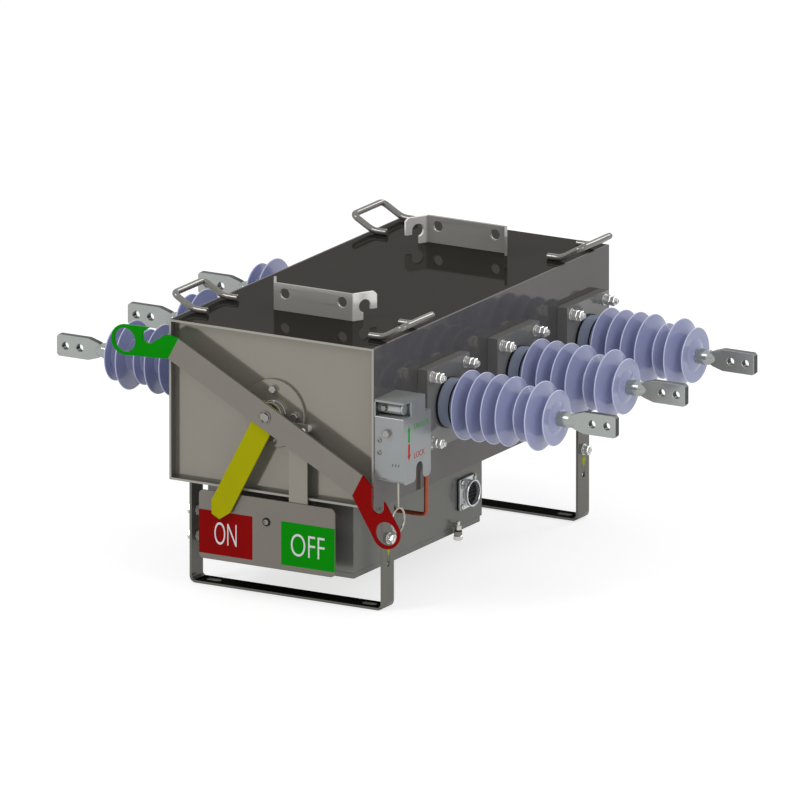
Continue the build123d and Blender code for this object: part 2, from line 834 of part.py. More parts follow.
def make_gas_parts():
    """Filling valve with its cap on the side of the box, and the copper pipe from the tank to the box."""
    valve_x = box_side_x + valve_standoff
    body_z = valve_bottom_z + valve_cap_height
    body_start_point = (valve_x, valve_y, body_z)
    body = bar_along(upwards, body_start_point, valve_body_diameter, valve_body_height, rod_flat_count)
    inner_x = box_side_x - box_wall
    stub_start = (inner_x, valve_y, valve_stub_z)
    body += bar_along(rightwards, stub_start, valve_stub_diameter, valve_x - inner_x, fastener_flat_count)
    cap = hexagon_along(upwards, (valve_x, valve_y, valve_bottom_z), valve_cap_diameter, valve_cap_height)
    save("gas_valve", body)
    save("gas_valve_cap", cap)

    run_x = half_width + pipe_standoff + pipe_diameter / 2
    switch_end_x = inner_x - pipe_bend
    corners = [
        (half_width - tank_wall, pipe_y, pipe_top_z),
        (run_x, pipe_y, pipe_top_z),
        (run_x, pipe_y, pipe_bottom_z),
        (switch_end_x, pipe_y, pipe_bottom_z),
    ]
    outer = flatted(pipe_diameter, fastener_flat_count)
    inner = flatted(pipe_diameter - 2 * pipe_wall, fastener_flat_count)
    pipe = bent_rod(corners, pipe_bend, outer) - bent_rod(corners, pipe_bend, inner)
    grommet = ring_along(
        rightwards,
        (box_side_x, pipe_y, pipe_bottom_z),
        grommet_diameter,
        pipe_diameter,
        grommet_thickness,
        rod_flat_count,
        fastener_flat_count,
    )
    save("gas_pipe", pipe)
    save("pipe_grommet", grommet)


# Feet


def foot(y):
    """Flat bar bent to a U, with two slots in its base and holes in its legs."""
    plane = Plane((0, y, 0), x_dir=rightwards, z_dir=forwards)
    outer = Pos(0, tank_bottom_z / 2) * Rectangle(foot_width, tank_bottom_z)
    outer = fillet(outer.vertices().sort_by(Axis.Y)[:2], foot_bend)
    inner_height = tank_bottom_z - foot_thickness
    inner = Pos(0, foot_thickness + inner_height / 2) * Rectangle(foot_width - 2 * foot_thickness, inner_height)
    inner = fillet(inner.vertices().sort_by(Axis.Y)[:2], foot_bend - foot_thickness)
    solid = extrude(plane * (outer - inner), foot_bar_width / 2, both=True)
    for side in (-1, 1):
        slot = Pos(side * foot_slot_pitch / 2, y) * SlotOverall(foot_slot_length, foot_slot_width)
        solid -= extrude(slot, foot_thickness)
    # Three holes carry fitted bolts. The lower one on the right stays open, so it is round.
    for side_x, z, flats in (
        (-leg_outer_x, leg_bolt_z, fastener_flat_count),
        (-leg_outer_x, leg_hole_z, fastener_flat_count),
        (leg_inner_x, leg_bolt_z, fastener_flat_count),
        (leg_inner_x, leg_hole_z, None),
    ):
        solid -= bar_along(rightwards, (side_x, y, z), leg_bolt_diameter, foot_thickness, flats)
    return solid


def leg_bolt(side, y, z):
    """Bolt through a leg, with its head inside and its washer and nut outside, in one solid."""
    out = rightwards if side > 0 else leftwards
    back = leftwards if side > 0 else rightwards
    inner = (side * leg_inner_x, y, z)
    outer = (side * leg_outer_x, y, z)
    bolt = bar_along(out, inner, leg_bolt_diameter, foot_thickness, fastener_flat_count)
    bolt += hexagon_along(back, inner, flange_nut_across_flats, bolt_head)
    bolt += bar_along(out, outer, flange_washer_diameter, flange_washer_thickness, rod_flat_count)
    nut_x = side * (leg_outer_x + flange_washer_thickness)
    return bolt + hexagon_along(out, (nut_x, y, z), flange_nut_across_flats, 2 * bolt_head)


def make_feet():
    """Two feet, with one earthing bolt on each right leg and two bolts on each left leg."""
    front_foot_y = -foot_spacing / 2
    rear_foot_y = foot_spacing / 2
    save("foot_front", foot(front_foot_y))
    save("foot_rear", foot(rear_foot_y))
    places = [(1, leg_bolt_z), (-1, leg_bolt_z), (-1, leg_hole_z)]
    save("leg_bolts", *[leg_bolt(side, y, z) for y in (front_foot_y, rear_foot_y) for side, z in places])


# Hanging brackets and lifting handles


def bracket(y, towards_middle):
    """Upright plate with two holes and a bent flange at each end, cut to a hook."""
    half = bracket_width / 2
    half_sheet = bracket_thickness / 2
    solid = block((-half, y - half_sheet, tank_top_z), (half, y + half_sheet, tank_top_z + bracket_height))
    for side in (-1, 1):
        hole_x = side * bracket_hole_pitch / 2
        hole_z = tank_top_z + bracket_hole_height
        hole_start = (hole_x, y - half_sheet, hole_z)
        solid -= bar_along(backwards, hole_start, bracket_hole_diameter, bracket_thickness)
    lobe = Pos(bracket_lobe_distance, bracket_lobe_height) * Circle(bracket_lobe_diameter / 2)
    tip = bracket_flange_length
    outline = Polyline(
        (0, 0),
        (bracket_neck, 0),
        (bracket_neck, bracket_lobe_height),
        (bracket_lobe_distance + bracket_lobe_diameter / 2, bracket_lobe_height),
        (bracket_lobe_distance + bracket_lobe_diameter / 2, bracket_prong_height),
        (tip, bracket_prong_height),
        (tip, bracket_height - bracket_chamfer),
        (tip - bracket_chamfer, bracket_height),
        (0, bracket_height),
        close=True,
    )
    hooked = make_face(outline) - lobe
    for side in (-1, 1):
        turn = radians(bracket_flange_angle)
        along = Vector(side * cos(turn), towards_middle * sin(turn), 0)
        plane = Plane((side * half, y, tank_top_z), x_dir=along, z_dir=along.cross(Vector(*upwards)))
        solid += extrude(plane * hooked, half_sheet, both=True)
        corner = (side * half, y, tank_top_z)
        solid += bar_along(upwards, corner, bracket_thickness, bracket_height, rod_flat_count)
    return solid


def handle():
    """Round rod on the right edge of the top plate: two welded feet and a loop that leans outwards."""
    rod_z = tank_top_z + handle_rod_diameter / 2
    bend_x = half_width - handle_edge_margin
    start_x = bend_x - handle_foot_length
    lean = radians(handle_loop_angle)
    loop_x = bend_x + handle_loop_length * cos(lean)
    loop_z = rod_z + handle_loop_length * sin(lean)
    half = handle_span / 2
    corners = [
        (start_x, -half, rod_z),
        (bend_x, -half, rod_z),
        (loop_x, -half, loop_z),
        (loop_x, half, loop_z),
        (bend_x, half, rod_z),
        (start_x, half, rod_z),
    ]
    return bent_rod(corners, handle_bend, flatted(handle_rod_diameter, rod_flat_count))


def make_hangers():
    """Two brackets and four handles on the top plate."""
    save("bracket_front", bracket(front_bracket_y, 1))
    save("bracket_rear", bracket(rear_bracket_y, -1))
    right = handle()
    left = mirror(right, Plane.YZ)
    handles = [Pos(0, y, 0) * rod for y in (front_handle_y, rear_handle_y) for rod in (right, left)]
    save("lifting_handles", *handles)


# Lock


def lock_outline():
    """Side view of the lock housing: a step at the top rear and a notch between two rounded feet."""
    notch_y = lock_front_y + lock_notch_gap
    notch_end_y = notch_y + lock_notch_width
    arch_z = lock_notch_top_z - lock_notch_width / 2
    outline = Polyline(
        (lock_front_y, lock_bottom_z),
        (notch_y, lock_bottom_z),
        (notch_y, arch_z),
        (notch_end_y, arch_z),
        (notch_end_y, lock_bottom_z),
        (lock_back_y, lock_bottom_z),
        (lock_back_y, lock_shoulder_z),
        (lock_back_y - lock_step_length, lock_shoulder_z),
        (lock_back_y - lock_step_length, lock_top_z),
        (lock_front_y, lock_top_z),
        close=True,
    )
    face = make_face(outline)
    feet = face.vertices().group_by(Axis.Y)[0]
    face = fillet(feet, lock_corner)
    face -= Pos((notch_y + notch_end_y) / 2, arch_z) * Circle(lock_notch_width / 2)
    return face


def make_lock():
    """Bent sheet housing, the bar in its window, the guide, the slide, and the pull rod with its ring."""
    inner_y = lock_front_y + lock_sheet
    inner_x = lock_side_x - lock_sheet
    housing = block((half_width, lock_front_y, lock_bottom_z), (lock_side_x, lock_back_y, lock_top_z))
    housing -= block(
        (half_width, inner_y, lock_bottom_z), (inner_x, lock_back_y - lock_sheet, lock_top_z - lock_sheet)
    )
    side = Plane((half_width, 0, 0), x_dir=backwards, z_dir=rightwards)
    housing &= extrude(side * lock_outline(), lock_width)
    front = Plane((half_width, lock_back_y, lock_bottom_z), x_dir=rightwards, z_dir=forwards)
    lock_height = lock_top_z - lock_bottom_z
    face = Pos(lock_width / 2, lock_height / 2) * Rectangle(lock_width, lock_height)
    face = fillet(face.vertices().group_by(Axis.Y)[0].sort_by(Axis.X)[:1], lock_side_corner)
    housing &= extrude(front * face, lock_depth)
    housing -= block(
        (half_width + lock_sheet, lock_front_y, lock_window_low),
        (lock_side_x, lock_front_y + lock_window_depth, lock_window_high),
    )
    step_y = lock_back_y - lock_step_length
    housing += block(
        (half_width, step_y, lock_shoulder_z - lock_sheet), (lock_side_x, lock_back_y, lock_shoulder_z)
    )
    housing += block(
        (half_width, step_y - lock_sheet, lock_shoulder_z - lock_sheet), (lock_side_x, step_y, lock_top_z)
    )

    bar_z = (lock_window_low + lock_window_high) / 2
    bar_start = (half_width, lock_front_y + roller_back, bar_z)
    bar = bar_along(rightwards, bar_start, roller_diameter, roller_length, turned_flat_count)

    slide_low_x = pull_rod_x - lock_slide_width / 2
    slide_y = inner_y + lock_play
    slide = block(
        (slide_low_x, slide_y, lock_slide_top_z - lock_slide_height),
        (slide_low_x + lock_slide_width, slide_y + lock_slide_thickness, lock_slide_top_z),
    )
    rod_y = slide_y + lock_slide_thickness + pull_rod_diameter / 2
    ring_top_z = pull_ring_centre_z + pull_ring_diameter / 2
    rod_start = (pull_rod_x, rod_y, ring_top_z)
    rod = bar_along(upwards, rod_start, pull_rod_diameter, lock_slide_top_z - ring_top_z, fastener_flat_count)
    wire = pull_rod_diameter / 2
    corner = wire * tan(radians(180 / fastener_flat_count))
    wire_outline = [(corner, wire), (wire, corner)]
    wire_outline += [(x, -radius) for x, radius in reversed(wire_outline)]
    wire_outline += [(-x, -radius) for x, radius in wire_outline]
    ring_points = [(x, pull_ring_diameter / 2 + radius) for x, radius in wire_outline]
    ring = Pos(pull_rod_x, rod_y, pull_ring_centre_z) * turned_with_flats(ring_points, turned_flat_count)

    guide_high_x = slide_low_x - lock_play
    guide_low_x = half_width + lock_sheet
    guide = block(
        (guide_low_x, inner_y, lock_guide_top_z - lock_guide_height),
        (guide_high_x, inner_y + lock_guide_depth, lock_guide_top_z),
    )
    grip = lock_sheet + lock_guide_depth
    bolt_place = (guide_high_x - bolt_diameter / 2, lock_front_y, lock_guide_top_z - bolt_diameter)
    bolt = bolt_along(
        forwards,
        bolt_place,
        grip,
        screw_diameter,
        bolt_across_flats,
        bolt_head,
        bolt_across_flats,
        bolt_washer_thickness,
    )
    screw_x = guide_low_x + screw_head_diameter
    screw_zs = [lock_guide_top_z - 2.5 * screw_head_diameter, lock_guide_top_z - 5 * screw_head_diameter]
    screws = [screw_along(forwards, (screw_x, lock_front_y, z), grip) for z in screw_zs]
    for place in [bolt_place] + [(screw_x, lock_front_y, z) for z in screw_zs]:
        hole = bar_along(backwards, place, screw_diameter, grip, fastener_flat_count)
        housing -= hole
        guide -= hole
    save("lock_housing", housing)
    save("lock_bar", bar)
    save("lock_guide", guide)
    save("lock_slide", slide)
    save("lock_pull", rod + ring)
    save("lock_screws", bolt, *screws)


make_tank()
make_bushings()
make_shaft()
make_bearings()
make_lever()
make_board()
make_box()
make_socket()
make_gas_parts()
make_feet()
make_hangers()
make_lock()
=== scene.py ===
from math import atan2, cos, pi, radians, sin

import bmesh
import bpy
from mathutils import Matrix, Vector


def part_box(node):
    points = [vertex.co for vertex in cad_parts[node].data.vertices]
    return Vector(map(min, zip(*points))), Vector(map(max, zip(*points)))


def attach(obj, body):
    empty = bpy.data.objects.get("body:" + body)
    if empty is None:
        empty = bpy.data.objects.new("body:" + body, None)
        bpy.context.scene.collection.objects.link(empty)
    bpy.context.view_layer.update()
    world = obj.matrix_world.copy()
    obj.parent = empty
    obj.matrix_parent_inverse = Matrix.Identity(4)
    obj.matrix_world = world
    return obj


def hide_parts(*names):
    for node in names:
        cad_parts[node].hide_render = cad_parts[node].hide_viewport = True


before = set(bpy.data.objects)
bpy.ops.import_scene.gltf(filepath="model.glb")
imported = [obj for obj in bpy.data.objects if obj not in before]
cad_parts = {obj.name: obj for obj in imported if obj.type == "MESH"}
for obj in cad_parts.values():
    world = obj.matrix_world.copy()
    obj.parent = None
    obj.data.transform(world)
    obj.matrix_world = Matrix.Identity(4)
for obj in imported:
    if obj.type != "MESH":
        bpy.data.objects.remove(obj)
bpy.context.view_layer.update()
MM = 0.001

# Camera
# The photograph is almost without perspective, so a long lens stands far off. It looks down 15 degrees
# and from 30 degrees to the right of the lever side.
view_turn = radians(30)
view_tilt = radians(15)
view_target = Vector((-19.1, 68.7, 257.7)) * MM
view_distance = 59.61
view_from = Vector((sin(view_turn) * cos(view_tilt), -cos(view_turn) * cos(view_tilt), sin(view_tilt)))
camera = bpy.data.objects.new("camera", bpy.data.cameras.new("camera"))
bpy.context.scene.collection.objects.link(camera)
camera.data.sensor_width = 36
camera.data.lens = 1500
camera.data.clip_start = 1
camera.data.clip_end = 200
camera.location = view_target + view_from * view_distance
camera.rotation_mode = "QUATERNION"
camera.rotation_quaternion = (-view_from).to_track_quat("-Z", "Y")
bpy.context.scene.camera = camera
bpy.context.scene.view_settings.view_transform = "Standard"

# Studio
# White surroundings that the camera, glossy and transmitted rays see at full strength, and a white floor
# that keeps the object's shadow. Three soft lamps light it: a key, a fill and one from behind.
ambient_strength = 0.62
floor_half = 60
floor_drop = 0.5
floor_glow = 0.7
floor_paint_lit = 0.85
floor_paint_seen = 0.45


def colour(code):
    """Linear RGBA of an sRGB hex colour."""
    parts = [int(code[place:place + 2], 16) / 255 for place in (1, 3, 5)]
    return (*[part / 12.92 if part <= 0.04045 else ((part + 0.055) / 1.055) ** 2.4 for part in parts], 1)


def add(tree, kind, settings=None, inputs=None):
    """Adds a node to a tree. An input gets a value, or a link when it is given another node's socket."""
    node = tree.nodes.new(kind)
    for name, value in (settings or {}).items():
        setattr(node, name, value)
    for name, value in (inputs or {}).items():
        if isinstance(value, bpy.types.NodeSocket):
            tree.links.new(value, node.inputs[name])
        else:
            node.inputs[name].default_value = value
    return node


def looked_at(tree):
    """Socket that is 1 for the rays that show the studio: the camera's, mirrored and transmitted ones."""
    rays = add(tree, "ShaderNodeLightPath")
    seen = add(
        tree,
        "ShaderNodeMath",
        {"operation": "MAXIMUM"},
        {0: rays.outputs["Is Camera Ray"], 1: rays.outputs["Is Glossy Ray"]},
    )
    seen_through = add(
        tree,
        "ShaderNodeMath",
        {"operation": "MAXIMUM"},
        {0: seen.outputs[0], 1: rays.outputs["Is Transmission Ray"]},
    )
    return seen_through.outputs[0]


world = bpy.data.worlds.new("studio")
bpy.context.scene.world = world
world.use_nodes = True
tree = world.node_tree
tree.nodes.clear()
strength = add(
    tree, "ShaderNodeMapRange", inputs={"Value": looked_at(tree), "To Min": ambient_strength, "To Max": 1.0}
)
sky = add(tree, "ShaderNodeBackground", inputs={"Color": (1, 1, 1, 1), "Strength": strength.outputs[0]})
add(tree, "ShaderNodeOutputWorld", inputs={"Surface": sky.outputs[0]})

# The floor lies half a millimetre low, so that the feet don't share its plane.
bm = bmesh.new()
bmesh.ops.create_grid(bm, x_segments=1, y_segments=1, size=floor_half)
floor_mesh = bpy.data.meshes.new("floor")
bm.to_mesh(floor_mesh)
bm.free()
floor = bpy.data.objects.new("floor", floor_mesh)
floor.location.z = -floor_drop * MM
bpy.context.scene.collection.objects.link(floor)
# Its paint lights the object as it is. Where it is looked at, it partly glows, so the shadow is weak.
floor_paint = bpy.data.materials.new("white studio floor")
floor_paint.use_nodes = True
tree = floor_paint.node_tree
tree.nodes.clear()
seen = looked_at(tree)
lift = add(tree, "ShaderNodeMath", {"operation": "MULTIPLY"}, {0: seen, 1: floor_glow})
shade = add(
    tree,
    "ShaderNodeMapRange",
    inputs={"Value": seen, "To Min": floor_paint_lit, "To Max": floor_paint_seen},
)
glow = add(tree, "ShaderNodeEmission", inputs={"Color": (1, 1, 1, 1), "Strength": lift.outputs[0]})
matt = add(tree, "ShaderNodeBsdfDiffuse", inputs={"Color": shade.outputs[0]})
both = add(tree, "ShaderNodeAddShader", inputs={0: glow.outputs[0], 1: matt.outputs[0]})
add(tree, "ShaderNodeOutputMaterial", inputs={"Surface": both.outputs[0]})
floor_mesh.materials.append(floor_paint)

# Each lamp has its place and size in metres and its power in watts.
lamps = [
    ("key_lamp", (-2.2, -3.4, 3.6), 1.6, 62),
    ("fill_lamp", (4.0, -1.6, 2.2), 2.0, 34),
    ("back_lamp", (1.2, 4.0, 3.0), 1.6, 40),
]
for name, place, size, power in lamps:
    lamp = bpy.data.lights.new(name, "AREA")
    lamp.shape = "SQUARE"
    lamp.size = size
    lamp.energy = power
    stand = bpy.data.objects.new(name, lamp)
    stand.location = place
    stand.rotation_mode = "QUATERNION"
    stand.rotation_quaternion = (view_target - Vector(place)).to_track_quat("-Z", "Y")
    bpy.context.scene.collection.objects.link(stand)

# Tank
# Stainless steel sheet, folded and welded, polished until it mirrors. The end panels are recessed and
# brushed to a warm satin. Fine scratches scatter light, so each metal is only partly a mirror.
scratch_width = 0.6


def new_material(name, tone, metallic, roughness):
    """Starts a material: its node tree and its shader, joined to the output."""
    material = bpy.data.materials.new(name)
    material.use_nodes = True
    tree = material.node_tree
    tree.nodes.clear()
    shader = add(tree, "ShaderNodeBsdfPrincipled", inputs={"Metallic": metallic, "Roughness": roughness})
    shader.inputs["Base Color"].default_value = colour(tone)
    add(tree, "ShaderNodeOutputMaterial", inputs={"Surface": shader.outputs["BSDF"]})
    return material, tree, shader


def clouded(tree, shader, tone, dark_tone, size):
    """Lets the colour drift between two tones in clouds. Returns the Object coordinates that it reads."""
    place = add(tree, "ShaderNodeTexCoord").outputs["Object"]
    cloud = add(
        tree, "ShaderNodeTexNoise", inputs={"Vector": place, "Scale": 1 / (size * MM), "Detail": 2.0}
    )
    # A Mix node's sockets 6 and 7 are its two colours.
    tones = add(
        tree,
        "ShaderNodeMix",
        {"data_type": "RGBA"},
        {0: cloud.outputs["Fac"], 6: colour(dark_tone), 7: colour(tone)},
    )
    tree.links.new(tones.outputs[2], shader.inputs["Base Color"])
    return place


def sheet_metal(name, tone, dark_tone, mirror_share, roughness, rough_spread, grain, depth):
    """Metal with marks of its making. Grain is the marks' size along X, Y and Z, in millimetres."""
    material, tree, shader = new_material(name, tone, mirror_share, roughness)
    shader.inputs["Specular IOR Level"].default_value = 0.0
    # Handling leaves a faint cloudiness about 60 mm across.
    place = clouded(tree, shader, tone, dark_tone, 60)
    # Marks that are too fine to show, as on small turned pieces, are drawn 2 to 4 mm across.
    marks_place = add(
        tree,
        "ShaderNodeMapping",
        inputs={"Vector": place, "Scale": tuple(1 / (size * MM) for size in grain)},
    )
    marks = add(
        tree, "ShaderNodeTexNoise", inputs={"Vector": marks_place.outputs[0], "Scale": 1.0, "Detail": 3.0}
    )
    rough = add(
        tree,
        "ShaderNodeMapRange",
        inputs={
            "Value": marks.outputs["Fac"],
            "To Min": roughness - rough_spread,
            "To Max": roughness + rough_spread,
        },
    )
    tree.links.new(rough.outputs[0], shader.inputs["Roughness"])
    bump = add(
        tree,
        "ShaderNodeBump",
        inputs={"Height": marks.outputs["Fac"], "Strength": depth, "Distance": 0.05 * MM},
    )
    tree.links.new(bump.outputs[0], shader.inputs["Normal"])
    return material


def dress(material, *nodes):
    """Gives CAD nodes a material."""
    for node in nodes:
        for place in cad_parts[node].material_slots:
            place.material = material


def ease_edges(width, *nodes):
    """Breaks the sharp edges of CAD plates a little, as a file does, so that they catch the light."""
    for node in nodes:
        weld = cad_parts[node].modifiers.new("joined", "WELD")
        weld.merge_threshold = 0.002 * MM
        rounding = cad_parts[node].modifiers.new("eased", "BEVEL")
        rounding.width = width * MM
        rounding.segments = 2
        rounding.limit_method = "ANGLE"
        rounding.angle_limit = radians(40)
        rounding.harden_normals = False


def box_mm(node):
    """Two corners of a CAD node's box, in millimetres."""
    low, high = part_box(node)
    return Vector(low) / MM, Vector(high) / MM


def keep(name, bm, material, body, *nodes):
    """Turns a bmesh into a piece that moves with a body, and stands for the CAD nodes that are named."""
    bmesh.ops.remove_doubles(bm, verts=bm.verts, dist=0.001 * MM)
    bmesh.ops.recalc_face_normals(bm, faces=bm.faces)
    mesh = bpy.data.meshes.new(name)
    bm.to_mesh(mesh)
    bm.free()
    mesh.shade_smooth()
    mesh.set_sharp_from_angle(angle=radians(24))
    mesh.materials.append(material)
    piece = bpy.data.objects.new(name, mesh)
    bpy.context.scene.collection.objects.link(piece)
    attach(piece, body)
    if nodes:
        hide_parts(*nodes)
    return piece


def rectangle(low_x, low_z, high_x, high_z):
    """Corners of a rectangle."""
    return [(low_x, low_z), (high_x, low_z), (high_x, high_z), (low_x, high_z)]


def meshed(curve):
    """A bmesh of a flat curve or a text."""
    drawn = bpy.data.objects.new("drawn", curve)
    bpy.context.scene.collection.objects.link(drawn)
    bpy.context.view_layer.update()
    mesh = bpy.data.meshes.new_from_object(drawn.evaluated_get(bpy.context.evaluated_depsgraph_get()))
    bpy.data.objects.remove(drawn)
    bm = bmesh.new()
    bm.from_mesh(mesh)
    bpy.data.meshes.remove(mesh)
    return bm


def plate(loops, thickness, edge):
    """A flat plate in the XZ plane, in millimetres, from its outline and its holes, with eased edges."""
    curve = bpy.data.curves.new("plate", "CURVE")
    curve.dimensions = "2D"
    curve.fill_mode = "BOTH"
    curve.extrude = (thickness / 2 - edge) * MM
    curve.bevel_depth = edge * MM
    curve.bevel_resolution = 0
    curve.offset = -edge * MM
    for points in loops:
        spline = curve.splines.new("POLY")
        spline.points.add(len(points) - 1)
        for point, (x, z) in zip(spline.points, points):
            point.co = (x * MM, z * MM, 0, 1)
        spline.use_cyclic_u = True
    bm = meshed(curve)
    bmesh.ops.rotate(bm, cent=(0, 0, 0), matrix=Matrix.Rotation(pi / 2, 3, "X"), verts=bm.verts)
    return bm


def placed(bm, matrix):
    """Turns and shifts a whole bmesh by a matrix."""
    bmesh.ops.transform(bm, matrix=matrix, verts=bm.verts)
    return bm


def moved(bm, place, turn=Matrix()):
    """Turns a bmesh, then shifts it to a place in millimetres."""
    return placed(bm, Matrix.Translation(Vector(place) * MM) @ turn)


# The sides mirror softly and look dark grey. Real polishing scratches are near 0.05 mm wide. Here and on
# the other brushed metals they are drawn 0.6 mm wide, so that they show.
side_steel = sheet_metal(
    "polished stainless side", "#6D6B6A", "#686665", 0.45, 0.07, 0.02, (40, 3, scratch_width), 0.02
)
# The top is the most mirror-like sheet and the darkest. Its dark tone is a painted reflection of dark
# surroundings. At the camera's low angle a metal pales towards white, which the specular tint holds back.
top_steel = sheet_metal(
    "mirror stainless top", "#403E3A", "#3D3B37", 0.6, 0.05, 0.01, (3, 60, scratch_width), 0.01
)
top_steel.node_tree.nodes["Principled BSDF"].inputs["Specular Tint"].default_value = (0.46, 0.46, 0.46, 1)
# Brushing leaves the panels flat and warm in tone, with hardly a reflection.
panel_steel = sheet_metal(
    "satin stainless panel", "#8F8B82", "#8A867D", 0.5, 0.12, 0.03, (60, 3, scratch_width), 0.03
)
# A sheared edge is rough. Its paler tone is a painted highlight, a thin light line round both ends of the
# tank.
cut_steel = sheet_metal("sheet edge with painted highlight", "#A8A59C", "#A09D94", 0.3, 0.3, 0.05, (4, 4, 4), 0.05)
dress(side_steel, "tank_shell")
dress(top_steel, "top_plate")
dress(panel_steel, "front_panel", "rear_panel")
ease_edges(0.6, "tank_shell", "top_plate")

tank_low, tank_high = box_mm("tank_shell")
tank_sheet = 4
rim_skin = 0.1
rim_loops = [
    rectangle(tank_low.x, tank_low.z, tank_high.x, tank_high.z),
    rectangle(
        tank_low.x + tank_sheet,
        tank_low.z + tank_sheet,
        tank_high.x - tank_sheet,
        tank_high.z - tank_sheet,
    ),
]
for name, rim_y in (("front_rim", tank_low.y), ("rear_rim", tank_high.y)):
    keep(name, moved(plate(rim_loops, rim_skin, 0.03), (0, rim_y, 0)), cut_steel, "switch_body")

# Brackets and lifting handles
# Two upright plates with their ends bent round and cut to hooks, and four handles of round rod, bent to a
# loop and welded by their feet to the top plate. All are stainless steel.

# Drawing leaves the rod bright and smooth, with long streaks of light.
rod_steel = sheet_metal("bright drawn rod", "#85837F", "#7B7975", 0.6, 0.07, 0.02, (4, 4, 4), 0.02)
# The brackets are a pale satin. One hook of each, beyond its fold, is painted near white: a painted
# highlight.
fold_distance = 80
for name, worn_side in (("front", 1), ("rear", -1)):
    bracket_steel = sheet_metal(
        f"stainless {name} bracket", "#ABAAA5", "#A4A39E", 0.35, 0.16, 0.04, (30, 3, scratch_width), 0.03
    )
    tree = bracket_steel.node_tree
    shader = tree.nodes["Principled BSDF"]
    plain_tone = shader.inputs["Base Color"].links[0].from_socket
    place = add(tree, "ShaderNodeTexCoord")
    across = add(tree, "ShaderNodeSeparateXYZ", inputs={0: place.outputs["Object"]})
    reach = add(tree, "ShaderNodeMath", {"operation": "MULTIPLY"}, {0: across.outputs["X"], 1: worn_side})
    # Past the fold, on the chosen side, the colour turns near white: a painted highlight.
    rubbed = add(
        tree,
        "ShaderNodeMapRange",
        inputs={
            "Value": reach.outputs[0],
            "From Min": (fold_distance - 1) * MM,
            "From Max": (fold_distance + 2) * MM,
        },
    )
    tones = add(
        tree,
        "ShaderNodeMix",
        {"data_type": "RGBA"},
        {0: rubbed.outputs[0], 6: plain_tone, 7: colour("#F0EFEC")},
    )
    tree.links.new(tones.outputs[2], shader.inputs["Base Color"])
    dress(bracket_steel, f"bracket_{name}")
ease_edges(0.5, "bracket_front", "bracket_rear")


def rounded(corners, bend, steps=8):
    """Route through corners, in millimetres, with a curve that starts one bend before each corner."""
    route = [Vector(corners[0])]
    for before, corner, after in zip(corners, corners[1:], corners[2:]):
        here = Vector(corner)
        entry = here + (Vector(before) - here).normalized() * bend
        leave = here + (Vector(after) - here).normalized() * bend
        for step in range(steps + 1):
            share = step / steps
            route.append(entry * (1 - share) ** 2 + here * 2 * share * (1 - share) + leave * share ** 2)
    route.append(Vector(corners[-1]))
    return route


def rod(bm, route, radius, sides):
    """A round rod with eased ends: a disc whose rim is drawn out along a route, in millimetres."""
    ease = 0.15 * radius
    first = (route[1] - route[0]).normalized()
    last = (route[-1] - route[-2]).normalized()
    stations = [(route[0], first, radius - ease), (route[0] + first * ease, first, radius)]
    for before, here, after in zip(route, route[1:], route[2:]):
        stations.append((here, (after - before).normalized(), radius))
    stations += [(route[-1] - last * ease, last, radius), (route[-1], last, radius - ease)]
    start = Matrix.Translation(route[0] * MM) @ first.to_track_quat("Z", "Y").to_matrix().to_4x4()
    disc = bmesh.ops.create_circle(
        bm, cap_ends=True, segments=sides, radius=(radius - ease) * MM, matrix=start
    )
    rim_edges = [edge for edge in disc["verts"][0].link_faces[0].edges]
    for (place, along, reach), (next_place, next_along, next_reach) in zip(stations, stations[1:]):
        drawn = bmesh.ops.extrude_edge_only(bm, edges=rim_edges)["geom"]
        rim_edges = [item for item in drawn if isinstance(item, bmesh.types.BMEdge) and item.is_boundary]
        rim_verts = [item for item in drawn if isinstance(item, bmesh.types.BMVert)]
        swing = along.rotation_difference(next_along).to_matrix().to_4x4()
        swing = swing @ Matrix.Scale(next_reach / reach, 4)
        step = Matrix.Translation(next_place * MM) @ swing @ Matrix.Translation(-place * MM)
        bmesh.ops.transform(bm, matrix=step, verts=rim_verts)
    bmesh.ops.edgeloop_fill(bm, edges=rim_edges)


handle_low, handle_high = box_mm("lifting_handles")
rod_radius = 6
rod_bend = 12
handle_z = tank_high.z + rod_radius
handle_lean = radians(30)
handle_loop = 48
handle_foot = 29
handle_bend_x = tank_high.x - 15
handle_start_x = handle_bend_x - handle_foot
loop_x = handle_bend_x + handle_loop * cos(handle_lean)
loop_z = handle_z + handle_loop * sin(handle_lean)
handle_half = 53
handle_ys = (handle_low.y + handle_half + rod_radius, handle_high.y - handle_half - rod_radius)
bm = bmesh.new()
for side in (-1, 1):
    for middle in handle_ys:
        low = middle - handle_half
        high = middle + handle_half
        corners = [
            (side * handle_start_x, low, handle_z),
            (side * handle_bend_x, low, handle_z),
            (side * loop_x, low, loop_z),
            (side * loop_x, high, loop_z),
            (side * handle_bend_x, high, handle_z),
            (side * handle_start_x, high, handle_z),
        ]
        rod(bm, rounded(corners, rod_bend), rod_radius, 20)
keep("lifting_handle_rods", bm, rod_steel, "switch_body", "lifting_handles")

# Bushing flanges
# Square plates of thick steel, each clamped to the tank's wall on four studs. Milling leaves them a grey
# satin with fine lines along them.
flange_steel = sheet_metal(
    "machined flange steel", "#8A8A88", "#848482", 0.35, 0.10, 0.03, (3, 25, scratch_width), 0.03
)
dress(flange_steel, "bushing_flanges")
ease_edges(0.8, "bushing_flanges")
